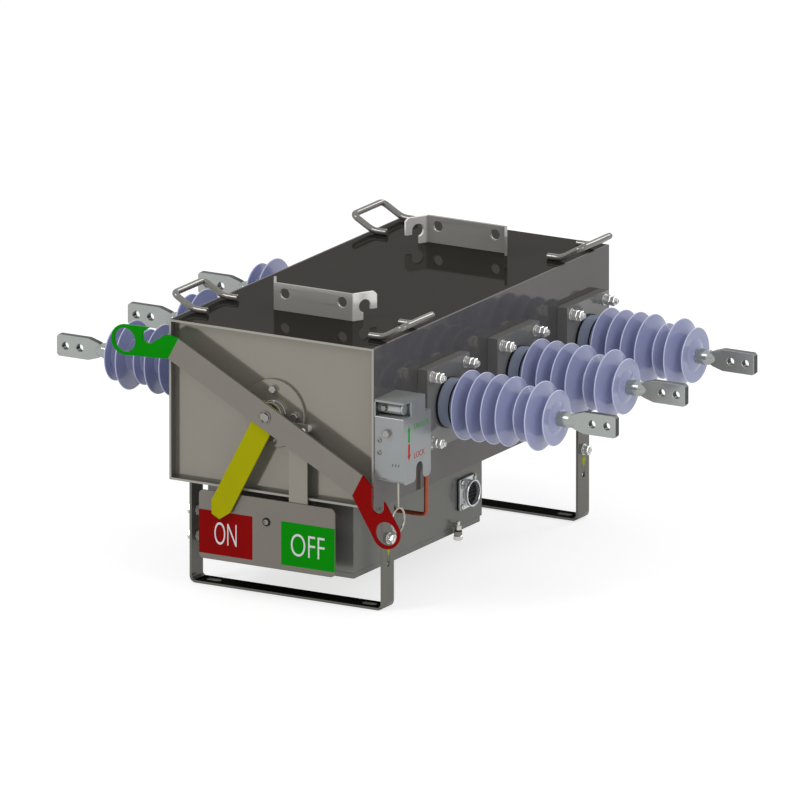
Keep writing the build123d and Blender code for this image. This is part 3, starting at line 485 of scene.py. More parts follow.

# Bushings
# Silicone rubber moulded over the conductor, glossy and slate blue. Each has a collar, a groove shown as
# a black ring of painted shade, and seven thin sheds that lean outwards, of which the fifth and the last
# are smaller.


def moulded(name, tone, dark_tone, roughness, grain, depth):
    """Moulded rubber or plastic, with a fine skin of a grain in millimetres and a slow change of tone."""
    material, tree, shader = new_material(name, tone, 0.0, roughness)
    place = clouded(tree, shader, tone, dark_tone, 35)
    # A mould's own skin is finer than 0.1 mm. It is drawn 0.5 to 0.8 mm across, so that it shows.
    skin = add(
        tree, "ShaderNodeTexNoise", inputs={"Vector": place, "Scale": 1 / (grain * MM), "Detail": 3.0}
    )
    bump = add(
        tree,
        "ShaderNodeBump",
        inputs={"Height": skin.outputs["Fac"], "Strength": depth, "Distance": 0.1 * MM},
    )
    tree.links.new(bump.outputs[0], shader.inputs["Normal"])
    return material


def turned(bm, profile, steps):
    """Spins a profile of (distance along X, radius) pairs about the X axis, in millimetres."""
    line = [bm.verts.new((x * MM, 0, radius * MM)) for x, radius in profile]
    edges = [bm.edges.new(pair) for pair in zip(line, line[1:])]
    bmesh.ops.spin(
        bm,
        geom=line + edges,
        cent=(0, 0, 0),
        axis=(1, 0, 0),
        angle=2 * pi,
        steps=steps,
        use_merge=True,
    )


def ring_profile(start, end, bore, radius, ease):
    """Closed profile of a flat ring along X with eased rims. With a bore of 0 it is a disc."""
    rim = [(start, radius - ease), (start + ease, radius), (end - ease, radius), (end, radius - ease)]
    closing = [(start, bore)] if bore else []
    return [(start, bore), *rim, (end, bore), *closing]


def copied(single, places):
    """A bmesh with one copy of a finished shape at each place."""
    mesh = bpy.data.meshes.new("pattern")
    single.to_mesh(mesh)
    single.free()
    many = bmesh.new()
    for place in places:
        count = len(many.verts)
        many.from_mesh(mesh)
        many.verts.ensure_lookup_table()
        bmesh.ops.transform(many, matrix=place, verts=many.verts[count:])
    bpy.data.meshes.remove(mesh)
    return many


def facing(direction, place):
    """Matrix that turns a shape drawn along X to a direction, its Z kept up, at a place in millimetres."""
    turn = Vector(direction).to_track_quat("X", "Z").to_matrix().to_4x4()
    return Matrix.Translation(Vector(place) * MM) @ turn


# The mould leaves the silicone glossy: sharp small highlights from its skin, over soft blue.
silicone = moulded("slate blue silicone", "#959ABF", "#8E93B7", 0.16, 0.8, 0.05)
silicone.node_tree.nodes["Principled BSDF"].inputs["Coat Weight"].default_value = 0.3
silicone.node_tree.nodes["Principled BSDF"].inputs["Coat Roughness"].default_value = 0.06
# The sheds' edges get a paler silicone: painted light, for the light that comes through where they are
# thinnest.
edge_silicone = moulded("silicone shed edge with painted light", "#C6CAE8", "#C0C4E2", 0.2, 0.8, 0.05)
# The collar's skin is smoother than the sheds'. Its greyer tone is painted shade.
collar_silicone = moulded("silicone collar in painted shade", "#98A1B8", "#929BB2", 0.12, 0.8, 0.04)
# Black rubber swallows light and hardly shines, so it reads as a dark line between two parts.
gasket_rubber = moulded("black gasket rubber", "#141518", "#101113", 0.42, 0.5, 0.2)
gasket_rubber.node_tree.nodes["Principled BSDF"].inputs["Specular IOR Level"].default_value = 0.2

tank_half = tank_high.x
axis_height = (tank_low.z + tank_high.z) / 2
phase_boxes = [box_mm(f"bushing_right_{number}") for number in (1, 2, 3)]
phase_places = [(low.y + high.y) / 2 for low, high in phase_boxes]
bushing_places = {}
for side, sign in (("right", 1), ("left", -1)):
    for number, phase in enumerate(phase_places, 1):
        place = facing((sign, 0, 0), (sign * tank_half, phase, axis_height))
        bushing_places[f"{side}_{number}"] = place

# Distances along a bushing start at the tank's wall.
flange_face = 20
collar_start = 24
collar_groove = 39.2
ring_start = 44.4
neck_start = 45
ring_end = 46.4
first_shed = 62
shed_pitch = 30
bushing_end = 247
core_radius = 29
neck_radius = 43
collar_radius = 45
gasket_radius = 46.5
collar_bore = 40
seal_bore = 37
shed_radii = (63, 63, 63, 63, 50.5, 63, 50.5)
rim = 1.25
rim_steps = 8
pale_radius = 49
shed_profile = [(neck_start, 0), (neck_start, neck_radius)]
for count, radius in enumerate(shed_radii):
    edge = first_shed + shed_pitch * count
    foot = core_radius if count else neck_radius
    shed_profile += [(edge - 4.5, foot), (edge - 3, foot + 0.6), (edge - 2.4, foot + 2.2)]
    for step in range(rim_steps + 1):
        turn = pi * step / rim_steps
        shed_profile.append((edge - rim - rim * cos(turn), radius - rim + rim * sin(turn)))
    if count < len(shed_radii) - 1:
        shed_profile += [
            (edge + 13, core_radius + 4.5),
            (edge + 15.5, core_radius + 1.2),
            (edge + 19, core_radius),
        ]
shed_profile += [(bushing_end - 6, 30), (bushing_end - 2.5, 25), (bushing_end, 14), (bushing_end, 0)]
for label, place in bushing_places.items():
    bm = bmesh.new()
    turned(bm, shed_profile, 96)
    # Faces beyond that radius take the paler silicone, the painted light on the shed edges.
    for face in bm.faces:
        if face.calc_center_median().yz.length > pale_radius * MM:
            face.material_index = 1
    placed(bm, place)
    moulding = keep(f"bushing_{label}_moulding", bm, silicone, "switch_body", f"bushing_{label}")
    moulding.data.materials.append(edge_silicone)

collar_profile = [
    (collar_start, collar_bore),
    (collar_start, collar_radius),
    (collar_groove - 1, collar_radius),
    (collar_groove - 0.4, collar_radius - 0.8),
    (collar_groove + 0.4, collar_radius - 0.8),
    (collar_groove + 1, collar_radius),
    (ring_start, collar_radius),
    (ring_start, collar_bore),
    (collar_start, collar_bore),
]
bm = bmesh.new()
turned(bm, collar_profile, 96)
keep("bushing_collars", copied(bm, bushing_places.values()), collar_silicone, "switch_body")

bm = bmesh.new()
turned(bm, ring_profile(flange_face, collar_start, seal_bore, gasket_radius, 0.3), 96)
# This second, thin black ring, between the collar and the neck, is painted shade.
turned(bm, ring_profile(ring_start, ring_end, seal_bore, collar_radius, 0.2), 96)
bm = copied(bm, bushing_places.values())
keep("bushing_gaskets_and_shade_rings", bm, gasket_rubber, "switch_body", "bushing_gaskets")

# Flange nuts
# Zinc-plated nuts on steel studs. Each stud has a plain washer and a split spring washer under its nut,
# and a second nut that locks the first. The plating is pale, and each flat throws its own glint.
bright_steel = sheet_metal(
    "bright zinc-plated steel", "#E2E2DF", "#D8D8D4", 0.45, 0.12, 0.04, (3, 3, 3), 0.03
)


def hexagon(bm, start, across, length):
    """A hexagon nut or head along X, with its corners eased at both ends."""
    radius = across / 2 / cos(pi / 6) * MM
    made = bmesh.ops.create_cone(
        bm, cap_ends=True, cap_tris=False, segments=6, radius1=radius, radius2=radius, depth=length * MM
    )
    ends = [
        edge
        for edge in bm.edges
        if edge.verts[0] in made["verts"]
        and abs(edge.calc_length() - radius) < 1e-6
        and abs(edge.verts[0].co.z - edge.verts[1].co.z) < 1e-6
    ]
    turn = Matrix.Rotation(pi / 2, 4, "Y")
    place = Matrix.Translation(((start + length / 2) * MM, 0, 0))
    bmesh.ops.transform(bm, matrix=place @ turn, verts=made["verts"])
    bmesh.ops.bevel(
        bm, geom=ends, offset=0.07 * across * MM, segments=1, profile=0.5, affect="EDGES", material=-1
    )


def washer(bm, start, diameter, thickness):
    """A washer along X, with its edge slightly rounded."""
    turned(bm, ring_profile(start, start + thickness, 0, diameter / 2, 0.3), 32)


def stud_end(bm, start, end, diameter):
    """The threaded end of a stud or bolt along X, with a chamfer."""
    radius = diameter / 2
    pitch = diameter * 0.15
    profile = [(start, 0), (start, radius)]
    place = start
    while place + pitch < end - 1:
        profile += [(place + pitch / 2, radius * 0.9), (place + pitch, radius)]
        place += pitch
    profile += [(end - 0.8, radius * 0.95), (end, radius * 0.75), (end, radius * 0.42)]
    profile += [(end - 1.6, radius * 0.36), (end - 1.6, 0)]
    turned(bm, profile, 24)


stud_diameter = 10
nut_across = 17
washer_diameter = 21
spring_washer_diameter = 17.5
stud_pitch = 120
nut_places = []
for place in bushing_places.values():
    for across in (-stud_pitch / 2, stud_pitch / 2):
        for along in (-stud_pitch / 2, stud_pitch / 2):
            nut_places.append(place @ Matrix.Translation(Vector((flange_face, across, along)) * MM))
bm = bmesh.new()
washer(bm, 0, washer_diameter, 2.2)
washer(bm, 2.6, spring_washer_diameter, 2.8)
hexagon(bm, 5.6, nut_across, 9)
hexagon(bm, 15.2, nut_across, 8)
stud_end(bm, 22, 28.5, stud_diameter)
bm = copied(bm, nut_places)
keep("flange_nuts_and_washers", bm, bright_steel, "switch_body", "flange_nuts", "flange_studs")

# Terminals
# The conductor's outer end: a round boss of copper that is forged to a flat pad. The pad is drilled for
# two bolts, and all of it is tinned.


def circle(x, z, radius, count=40):
    """Points round a circle."""
    turns = [2 * pi * step / count for step in range(count)]
    return [(x + radius * cos(turn), z + radius * sin(turn)) for turn in turns]


# Tin is pale and softly bright. The cut edges and the walls of the holes take a darker copy of it: painted
# shade.
tinned_copper = sheet_metal("tinned copper", "#A6ABA8", "#9EA3A0", 0.6, 0.12, 0.04, (12, 2, 2), 0.04)
cut_copper = sheet_metal("tinned edge in the shade", "#4C4E50", "#464849", 0.5, 0.2, 0.05, (3, 3, 3), 0.04)
boss_start = bushing_end
boss_end = 280
pad_start = 300
pad_end = 365
boss_radius = 14
root_radius = 10
root_depth = 7
pad_half = 20
pad_corner = 4
pad_thickness = 14
pad_hole_radius = 7
pad_hole_inset = 18
pad_hole_pitch = 30
upper_outline = [
    (boss_end - 8, boss_radius - 4),
    (boss_end, boss_radius),
    (pad_start, pad_half),
    (pad_end - pad_corner, pad_half),
    (pad_end, pad_half - pad_corner),
]
pad_outline = upper_outline + [(x, -z) for x, z in reversed(upper_outline)]
pad_hole_insets = (pad_hole_inset + pad_hole_pitch, pad_hole_inset)
pad_holes = [circle(pad_end - inset, 0, pad_hole_radius) for inset in pad_hole_insets]
boss_profile = [
    (boss_start - root_depth, 0),
    (boss_start - root_depth, root_radius),
    (boss_start, root_radius),
    (boss_start, boss_radius - 0.6),
    (boss_start + 0.6, boss_radius),
    (boss_end - 10, boss_radius),
    (boss_end - 9, boss_radius - 1),
    (boss_end - 3, boss_radius - 2),
    (boss_end + 6, pad_thickness / 2 - 0.5),
    (boss_end + 6, 0),
]
for label, place in bushing_places.items():
    bm = plate([pad_outline, *pad_holes], pad_thickness, 0.8)
    for face in bm.faces:
        # Faces turned away from the pad's flat sides take the painted shade.
        if abs(face.normal.y) < 0.3:
            face.material_index = 1
    turned(bm, boss_profile, 48)
    placed(bm, place)
    forging = keep(f"terminal_{label}_forging", bm, tinned_copper, "switch_body", f"terminal_{label}")
    forging.data.materials.append(cut_copper)

# Contacts and rotor inside the tank
# Bare copper blades, reddish and satin, clamped through a rotor cast from brown resin. Fixed blades of
# the same copper stand on the inner ends of the conductors.
contact_copper = sheet_metal("bare contact copper", "#B36A4A", "#A86042", 0.9, 0.25, 0.06, (15, 2, 2), 0.04)
resin = moulded("cast resin", "#7A3B22", "#70351E", 0.35, 0.6, 0.15)
dress(contact_copper, "fixed_contacts", "moving_blades")
dress(resin, "contact_rotor")

# Seal cover, its bolts and the shaft
# A turned cover with a bright sleeve holds the shaft's seal in place, on four hexagon bolts. Behind it a
# ground stainless shaft turns in bronze bearings.

# Grinding leaves the shaft bright. The bearings are yellow, the bolts and the sleeve a duller grey.
shaft_steel = sheet_metal("ground shaft steel", "#93918A", "#89877F", 0.75, 0.14, 0.04, (2, 2, 8), 0.03)
bronze = sheet_metal("bearing bronze", "#9A7443", "#8F6B3D", 0.9, 0.28, 0.06, (3, 3, 3), 0.05)
bolt_steel = sheet_metal("dull bolt steel", "#9B9A96", "#918F8B", 0.75, 0.15, 0.04, (3, 3, 3), 0.03)
# The seal is black and matt.
seal_rubber = moulded("seal rubber", "#1A1A1B", "#151516", 0.45, 0.5, 0.2)
dress(shaft_steel, "main_shaft")
dress(bronze, "shaft_bearings")
dress(seal_rubber, "shaft_seal")

cover_low, cover_high = box_mm("seal_cover")
cover_radius = (cover_high.x - cover_low.x) / 2 - 0.2
cover_thickness = 6
cover_reach = cover_high.y - cover_low.y
sleeve_radius = 23.5
sleeve_bore = 18.5
shaft_radius = 15.1
cover_profile = [
    (0, shaft_radius),
    (0, cover_radius),
    (cover_thickness - 1, cover_radius),
    (cover_thickness, cover_radius - 1),
    (cover_thickness, sleeve_radius + 1),
    (cover_thickness + 0.7, sleeve_radius + 0.2),
    (cover_thickness + 1.2, sleeve_radius),
    (cover_reach - 0.8, sleeve_radius),
    (cover_reach, sleeve_radius - 0.8),
    (cover_reach, sleeve_bore + 0.8),
    (cover_reach - 0.8, sleeve_bore),
    (cover_thickness, sleeve_bore),
    (cover_thickness, shaft_radius),
    (0, shaft_radius),
]
forwards = (0, -1, 0)
bm = bmesh.new()
turned(bm, cover_profile, 96)
for face in bm.faces:
    if face.calc_center_median().x > (cover_thickness + 0.1) * MM:
        face.material_index = 1
placed(bm, facing(forwards, (0, cover_high.y, axis_height)))
cover = keep("seal_cover_turning", bm, panel_steel, "switch_body", "seal_cover")
cover.data.materials.append(bolt_steel)

bolt_circle = 44.5
bolt_across = 13
bolt_head_height = 6
bolt_washer_thickness = 1.8
cover_face_y = cover_high.y - cover_thickness
bolt_places = [
    facing(forwards, (bolt_circle * cos(turn), cover_face_y, axis_height + bolt_circle * sin(turn)))
    for turn in (0, pi / 2, pi, 3 * pi / 2)
]
bm = bmesh.new()
washer(bm, 0, 18, bolt_washer_thickness)
hexagon(bm, bolt_washer_thickness, bolt_across, bolt_head_height)
bm = copied(bm, bolt_places)
keep("cover_bolts_and_washers", bm, bolt_steel, "switch_body", "cover_bolts")

# Lever, hooks and pointer
# A flat steel bar with two painted hook plates for the operating stick, and a painted pointer behind it.
# They sit on the shaft's flats, held by a notched ring.


def painted(name, tone, dark_tone, roughness):
    """Matt paint or ink in a thin even layer, with a faint orange peel about 2.5 mm across."""
    material, tree, shader = new_material(name, tone, 0.0, roughness)
    shader.inputs["Specular IOR Level"].default_value = 0.06
    place = clouded(tree, shader, tone, dark_tone, 50)
    peel = add(
        tree, "ShaderNodeTexNoise", inputs={"Vector": place, "Scale": 1 / (2.5 * MM), "Detail": 2.0}
    )
    bump = add(
        tree,
        "ShaderNodeBump",
        inputs={"Height": peel.outputs["Fac"], "Strength": 0.08, "Distance": 0.05 * MM},
    )
    tree.links.new(bump.outputs[0], shader.inputs["Normal"])
    return material


# The bar's satin is a dull warm grey, beside strong flat colours without gloss.
lever_steel = sheet_metal(
    "satin lever steel", "#827E77", "#7C7871", 0.5, 0.20, 0.05, (20, 3, scratch_width), 0.04
)
red_paint = painted("red lever paint", "#8A0000", "#7E0000", 0.35)
green_paint = painted("green lever paint", "#008C00", "#008200", 0.35)
yellow_paint = painted("yellow pointer paint", "#A8A600", "#A09E00", 0.35)
dress(lever_steel, "lever_bar")
dress(red_paint, "hook_red")
dress(green_paint, "hook_green")
dress(yellow_paint, "position_pointer")
ease_edges(0.4, "lever_bar", "hook_red", "hook_green", "position_pointer")

retainer_low, retainer_high = box_mm("lever_retainer")
retainer_radius = (retainer_high.x - retainer_low.x) / 2 - 0.1
retainer_bore = 8.8
notch_depth = 1.5
notch_count = 6
bore_points = []
for step in range(12 * notch_count):
    turn = 2 * pi * step / (12 * notch_count)
    reach = retainer_bore + notch_depth if step % 12 < 3 else retainer_bore
    bore_points.append((reach * cos(turn), reach * sin(turn)))
bm = plate([circle(0, 0, retainer_radius, 64), bore_points], retainer_high.y - retainer_low.y, 0.3)
moved(bm, (0, (retainer_low.y + retainer_high.y) / 2, axis_height))
keep("lever_retainer_ring", bm, rod_steel, "lever_and_contacts", "lever_retainer")

# Sign board
# Plate with a red field for ON and a green field for OFF, hung in front of the tank by a flat strap. The
# fields are films of paint and the words are cut from white film, so both stand a hair above the plate.

# The bare plate is a dull satin, the letters an even white without gloss.
board_steel = sheet_metal(
    "satin board steel", "#7C7871", "#77736C", 0.5, 0.22, 0.05, (30, 3, scratch_width), 0.04
)
letter_paint = painted("white letter paint", "#DADADA", "#D4D4D4", 0.4)
dress(board_steel, "sign_board")
dress(panel_steel, "sign_strap")
dress(bright_steel, "sign_spacers")
ease_edges(0.4, "sign_board", "sign_strap")


def word(name, text, width, height, place, turn, material, body):
    """Thin letters of a width and height in millimetres as a raised film, centred on a place."""
    curve = bpy.data.curves.new(name, "FONT")
    curve.body = text
    curve.size = 1.0
    curve.extrude = 0.01
    curve.offset = -0.012
    bm = meshed(curve)
    across = [vertex.co.x for vertex in bm.verts]
    upright = [vertex.co.y for vertex in bm.verts]
    centre = Matrix.Translation((-(min(across) + max(across)) / 2, -(min(upright) + max(upright)) / 2, 0))
    stretch = width * MM / (max(across) - min(across))
    rise = height * MM / (max(upright) - min(upright))
    size = Matrix.Diagonal((stretch, rise, rise, 1))
    moved(bm, place, turn @ size @ centre)
    return keep(name, bm, material, body)


board_low, board_high = box_mm("sign_board")
field_width = 110
field_height = 80
field_bottom = board_low.z + 10
film = 0.3
letter_height = 41
facing_front = Matrix.Rotation(pi / 2, 4, "X")
# Each field has its paint, its left edge, its word and the word's width.
fields = [
    ("on", red_paint, board_low.x, "ON", 45.4),
    ("off", green_paint, board_high.x - field_width, "OFF", 69),
]
for name, paint, field_low_x, letters, letters_width in fields:
    outline = rectangle(0, 0, field_width, field_height)
    bm = moved(plate([outline], film, 0.05), (field_low_x, board_low.y - film * 0.3, field_bottom))
    keep(name + "_field", bm, paint, "switch_body")
    middle = (field_low_x + field_width / 2, board_low.y - film, field_bottom + field_height / 2)
    word(
        name + "_word",
        letters,
        letters_width,
        letter_height,
        middle,
        facing_front,
        letter_paint,
        "switch_body",
    )


def round_head(bm, start, diameter, height):
    """A domed screw head along X, with a socket in its middle."""
    radius = diameter / 2
    profile = [
        (start, 0),
        (start, radius * 0.96),
        (start + height * 0.3, radius),
        (start + height * 0.7, radius * 0.86),
        (start + height * 0.95, radius * 0.6),
        (start + height, radius * 0.42),
        (start + height * 0.55, radius * 0.38),
        (start + height * 0.55, 0),
    ]
    turned(bm, profile, 24)


small_head = 9
small_head_height = 2.8
strap_screw_xs = (47, 69)
strap_screw_z = 328
bm = bmesh.new()
round_head(bm, 0, small_head, small_head_height)
bm = copied(bm, [facing(forwards, (x, board_high.y, strap_screw_z)) for x in strap_screw_xs])
keep("sign_screw_heads", bm, bright_steel, "switch_body", "sign_screws")
# The board's own bolt head is ringed in black, a painted shadow round it.
board_bolt_x = -5
board_bolt_z = 151
board_bolt_head = 16
bolt_ring_bore = 5.4
bm = bmesh.new()
round_head(bm, 0, board_bolt_head, 3)
for face in bm.faces:
    if face.calc_center_median().yz.length > bolt_ring_bore * MM:
        face.material_index = 1
placed(bm, facing(forwards, (board_bolt_x, board_low.y, board_bolt_z)))
bolt_head = keep("board_bolt_head", bm, panel_steel, "switch_body")
bolt_head.data.materials.append(gasket_rubber)

# Mechanism box and feet
# A folded stainless box welded under the tank, and feet of flat bar bent to a U, all duller than the
# tank. Each right leg has an earthing bolt with an earth mark under it, and each left leg has two bolts.

# Box and bars are pickled, not polished: grey, with blurred reflections.
box_steel = sheet_metal(
    "dull stainless box", "#7C7C78", "#767672", 0.4, 0.22, 0.05, (30, 30, scratch_width), 0.04
)
bar_mirror_share = 0.5
foot_steel = sheet_metal(
    "flat bar steel", "#74736D", "#6E6D68", bar_mirror_share, 0.20, 0.05, (30, 3, 30), 0.04
)
# The upper face of the bars on the ground is painted near black without shine: a painted dark reflection.
bar_thickness = 5
tree = foot_steel.node_tree
shader = tree.nodes["Principled BSDF"]
plain_tone = shader.inputs["Base Color"].links[0].from_socket
place = add(tree, "ShaderNodeTexCoord")
along = add(tree, "ShaderNodeSeparateXYZ", inputs={0: place.outputs["Object"]})
above = add(
    tree,
    "ShaderNodeMath",
    {"operation": "SUBTRACT"},
    {0: along.outputs["Z"], 1: bar_thickness * MM},
)
away = add(tree, "ShaderNodeMath", {"operation": "ABSOLUTE"}, {0: above.outputs[0]})
# Within half a millimetre of the bars' upper face the colour goes near black: painted dark reflection.
clean = add(
    tree,
    "ShaderNodeMapRange",
    inputs={"Value": away.outputs[0], "From Min": 0.3 * MM, "From Max": 0.5 * MM},
)
tones = add(
    tree,
    "ShaderNodeMix",
    {"data_type": "RGBA"},
    {0: clean.outputs[0], 6: colour("#1A1A18"), 7: plain_tone},
)
tree.links.new(tones.outputs[2], shader.inputs["Base Color"])
mirror_share = add(
    tree, "ShaderNodeMath", {"operation": "MULTIPLY"}, {0: clean.outputs[0], 1: bar_mirror_share}
)
tree.links.new(mirror_share.outputs[0], shader.inputs["Metallic"])
dress(box_steel, "mechanism_box", "box_tray")
dress(foot_steel, "foot_front", "foot_rear")
ease_edges(0.5, "foot_front", "foot_rear", "mechanism_box", "box_tray")

rightwards = (1, 0, 0)
leftwards = (-1, 0, 0)
foot_low, foot_high = box_mm("foot_front")
rear_low, rear_high = box_mm("foot_rear")
foot_ys = ((foot_low.y + foot_high.y) / 2, (rear_low.y + rear_high.y) / 2)
leg_bolt_z = 130
leg_hole_z = 83
leg_places = []
for y in foot_ys:
    leg_places.append(facing(rightwards, (foot_high.x, y, leg_bolt_z)))
    for z in (leg_bolt_z, leg_hole_z):
        leg_places.append(facing(leftwards, (foot_low.x, y, z)))
bm = bmesh.new()
washer(bm, 0, washer_diameter, 2)
washer(bm, 2.3, spring_washer_diameter, 2.3)
hexagon(bm, 4.9, nut_across, 7.5)
hexagon(bm, -bar_thickness - 6, nut_across, 6)
stud_end(bm, -bar_thickness, 14.8, stud_diameter)
keep("leg_bolts_and_nuts", copied(bm, leg_places), bright_steel, "switch_body", "leg_bolts")

# The earth mark is a drop of flat yellow-green paint, its point down.
earth_paint = painted("yellow-green earth mark", "#9DA62E", "#969E2A", 0.4)
drop_radius = 6.5
drop_length = 15
drop_fall = 19
drop_turns = [radians(angle) for angle in range(-15, 196, 15)]
drop_points = [(drop_radius * cos(turn), drop_radius * sin(turn)) for turn in drop_turns]
drop_points.append((0, -drop_length))
quarter_turn = Matrix.Rotation(pi / 2, 4, "Z")
for name, y in zip(("front", "rear"), foot_ys):
    mark_place = (foot_high.x + film * 0.3, y, leg_bolt_z - drop_fall)
    bm = moved(plate([drop_points], film, 0.05), mark_place, quarter_turn)
    keep(name + "_earth_mark", bm, earth_paint, "switch_body")

# Pressure switch inside the box
# A plain turned can of plated steel with a dull grey shine. It is screwed to the end of the copper pipe,
# where no side shows it.
switch_metal = sheet_metal("switch body metal", "#9A9A97", "#90908D", 0.8, 0.3, 0.06, (3, 3, 3), 0.04)
dress(switch_metal, "pressure_switch")

# Control socket
# A cast bright shell screwed to the box over a black gasket: a square flange with four screws, and a
# barrel with a groove round it. The black insert inside carries nineteen pins.

# The casting is nearly white and shines softly. The pins' dark tone is painted shade, against an insert
# that hardly shines.
socket_metal = sheet_metal("cast socket shell", "#DDE0E1", "#D2D5D6", 0.6, 0.14, 0.04, (2, 2, 2), 0.06)
pin_metal = sheet_metal("contact pins in painted shade", "#4A4B4C", "#434445", 0.9, 0.25, 0.05, (2, 2, 2), 0.03)
black_plastic = moulded("black pin insert", "#151618", "#111214", 0.4, 0.5, 0.15)
black_plastic.node_tree.nodes["Principled BSDF"].inputs["Specular IOR Level"].default_value = 0.1
dress(gasket_rubber, "socket_gasket")
ease_edges(0.3, "socket_gasket")


def rounded_square(half, corner):
    """Points of a square with round corners."""
    points = []
    for number, (x, z) in enumerate(((1, 1), (-1, 1), (-1, -1), (1, -1))):
        for step in range(7):
            turn = radians(90 * number + 15 * step)
            points.append(
                (x * (half - corner) + corner * cos(turn), z * (half - corner) + corner * sin(turn))
            )
    return points


shell_low, shell_high = box_mm("socket_shell")
socket_y = (shell_low.y + shell_high.y) / 2
socket_z = (shell_low.z + shell_high.z) / 2
socket_half = (shell_high.y - shell_low.y) / 2
shell_flange = 4
barrel_start = 0.5
barrel_end = shell_high.x - shell_low.x
barrel_radius = 24.5
barrel_bore = 21.5
barrel_groove = 10.6
bm = plate([rounded_square(socket_half, 3), circle(0, 0, barrel_bore, 64)], shell_flange, 0.5)
moved(bm, (shell_low.x + shell_flange / 2, socket_y, socket_z), quarter_turn)
keep("socket_flange_casting", bm, socket_metal, "switch_body", "socket_shell")
barrel_profile = [
    (barrel_start, barrel_bore),
    (shell_flange - 0.2, barrel_bore),
    (shell_flange - 0.2, barrel_radius),
    (barrel_groove - 1.2, barrel_radius),
    (barrel_groove - 0.6, barrel_radius - 0.9),
    (barrel_groove + 0.6, barrel_radius - 0.9),
    (barrel_groove + 1.2, barrel_radius),
    (barrel_end - 0.6, barrel_radius),
    (barrel_end, barrel_radius - 0.6),
    (barrel_end, barrel_bore + 0.7),
    (barrel_end - 0.7, barrel_bore),
    (barrel_start, barrel_bore),
]
bm = bmesh.new()
turned(bm, barrel_profile, 64)
placed(bm, facing(rightwards, (shell_low.x, socket_y, socket_z)))
keep("socket_barrel_casting", bm, socket_metal, "switch_body")

# Under each screw lies a thin black disc, painted shade round its head.
screw_reach = 22.5
screw_head = 8.4
seat_diameter = 11
seat_depth = 0.5
screw_x = shell_low.x + shell_flange
screw_places = [
    facing(rightwards, (screw_x, socket_y + y * screw_reach, socket_z + z * screw_reach))
    for y in (-1, 1)
    for z in (-1, 1)
]
bm = bmesh.new()
washer(bm, 0, seat_diameter, seat_depth)
keep("socket_screw_shade_discs", copied(bm, screw_places), gasket_rubber, "switch_body")
bm = bmesh.new()
round_head(bm, 0.3, screw_head, 2.7)
keep("socket_screw_heads", copied(bm, screw_places), bright_steel, "switch_body", "socket_screws")

insert_face_x = box_mm("socket_insert")[1].x
insert_depth = 30
insert_radius = 21.3
insert_profile = [
    (-insert_depth, 0),
    (-insert_depth, insert_radius),
    (-0.6, insert_radius),
    (0, insert_radius - 0.6),
    (0, 0),
]
bm = bmesh.new()
turned(bm, insert_profile, 64)
placed(bm, facing(rightwards, (insert_face_x, socket_y, socket_z)))
keep("socket_insert_moulding", bm, black_plastic, "switch_body", "socket_insert")

# The pins stand in rings of one, six and twelve.
pin_pitch = 7.6
pin_radius = 0.8
pin_length = 3.5
pin_places = []
for count, reach in ((1, 0), (6, pin_pitch), (12, 2 * pin_pitch)):
    for y, z in circle(0, 0, reach, count):
        pin_places.append(facing(rightwards, (insert_face_x, socket_y + y, socket_z + z)))
pin_profile = [
    (-1, 0),
    (-1, pin_radius),
    (pin_length - 0.5, pin_radius),
    (pin_length, pin_radius / 2),
    (pin_length, 0),
]
bm = bmesh.new()
turned(bm, pin_profile, 12)
keep("socket_pins", copied(bm, pin_places), pin_metal, "switch_body")

# Gas valve and pipe
# A small turned valve hangs at the side of the box: stem, collar, seal ring, knurled nut, hexagon cap.
# Bare copper pipe with round bends runs from the tank down into the box through a black grommet.

# Turning leaves the valve bright. The knurl's teeth shade each other, so the nut gets a darker copy of the
# metal: painted shade, which the lock bar's bolt and the lock's screw heads take too.
valve_metal = sheet_metal("turned valve metal", "#D2D0C8", "#C6C4BC", 0.9, 0.16, 0.05, (2, 2, 2), 0.04)
knurl_metal = sheet_metal("bright metal in painted shade", "#8A8984", "#807F7A", 0.9, 0.25, 0.05, (2, 2, 2), 0.04)
# Copper in the open air has gone from pink to a brownish red.
pipe_copper = sheet_metal("drawn copper pipe", "#A2553B", "#984D35", 0.7, 0.22, 0.05, (3, 3, 20), 0.04)


def knurled(bm, start, radius, length, teeth):
    """A knurled ring along X."""
    made = bmesh.ops.create_cone(
        bm,
        cap_ends=True,
        cap_tris=False,
        segments=2 * teeth,
        radius1=radius * MM,
        radius2=radius * MM,
        depth=length * MM,
    )
    for vertex in made["verts"]:
        tooth = round(atan2(vertex.co.y, vertex.co.x) / (pi / teeth))
        if tooth % 2:
            vertex.co.x *= 0.93
            vertex.co.y *= 0.93
    place = Matrix.Translation(((start + length / 2) * MM, 0, 0)) @ Matrix.Rotation(pi / 2, 4, "Y")
    bmesh.ops.transform(bm, matrix=place, verts=made["verts"])


valve_low, valve_high = box_mm("gas_valve")
cap_low, cap_high = box_mm("gas_valve_cap")
valve_x = (cap_low.x + cap_high.x) / 2
valve_y = (cap_low.y + cap_high.y) / 2
valve_place = facing((0, 0, 1), (valve_x, valve_y, cap_low.z))
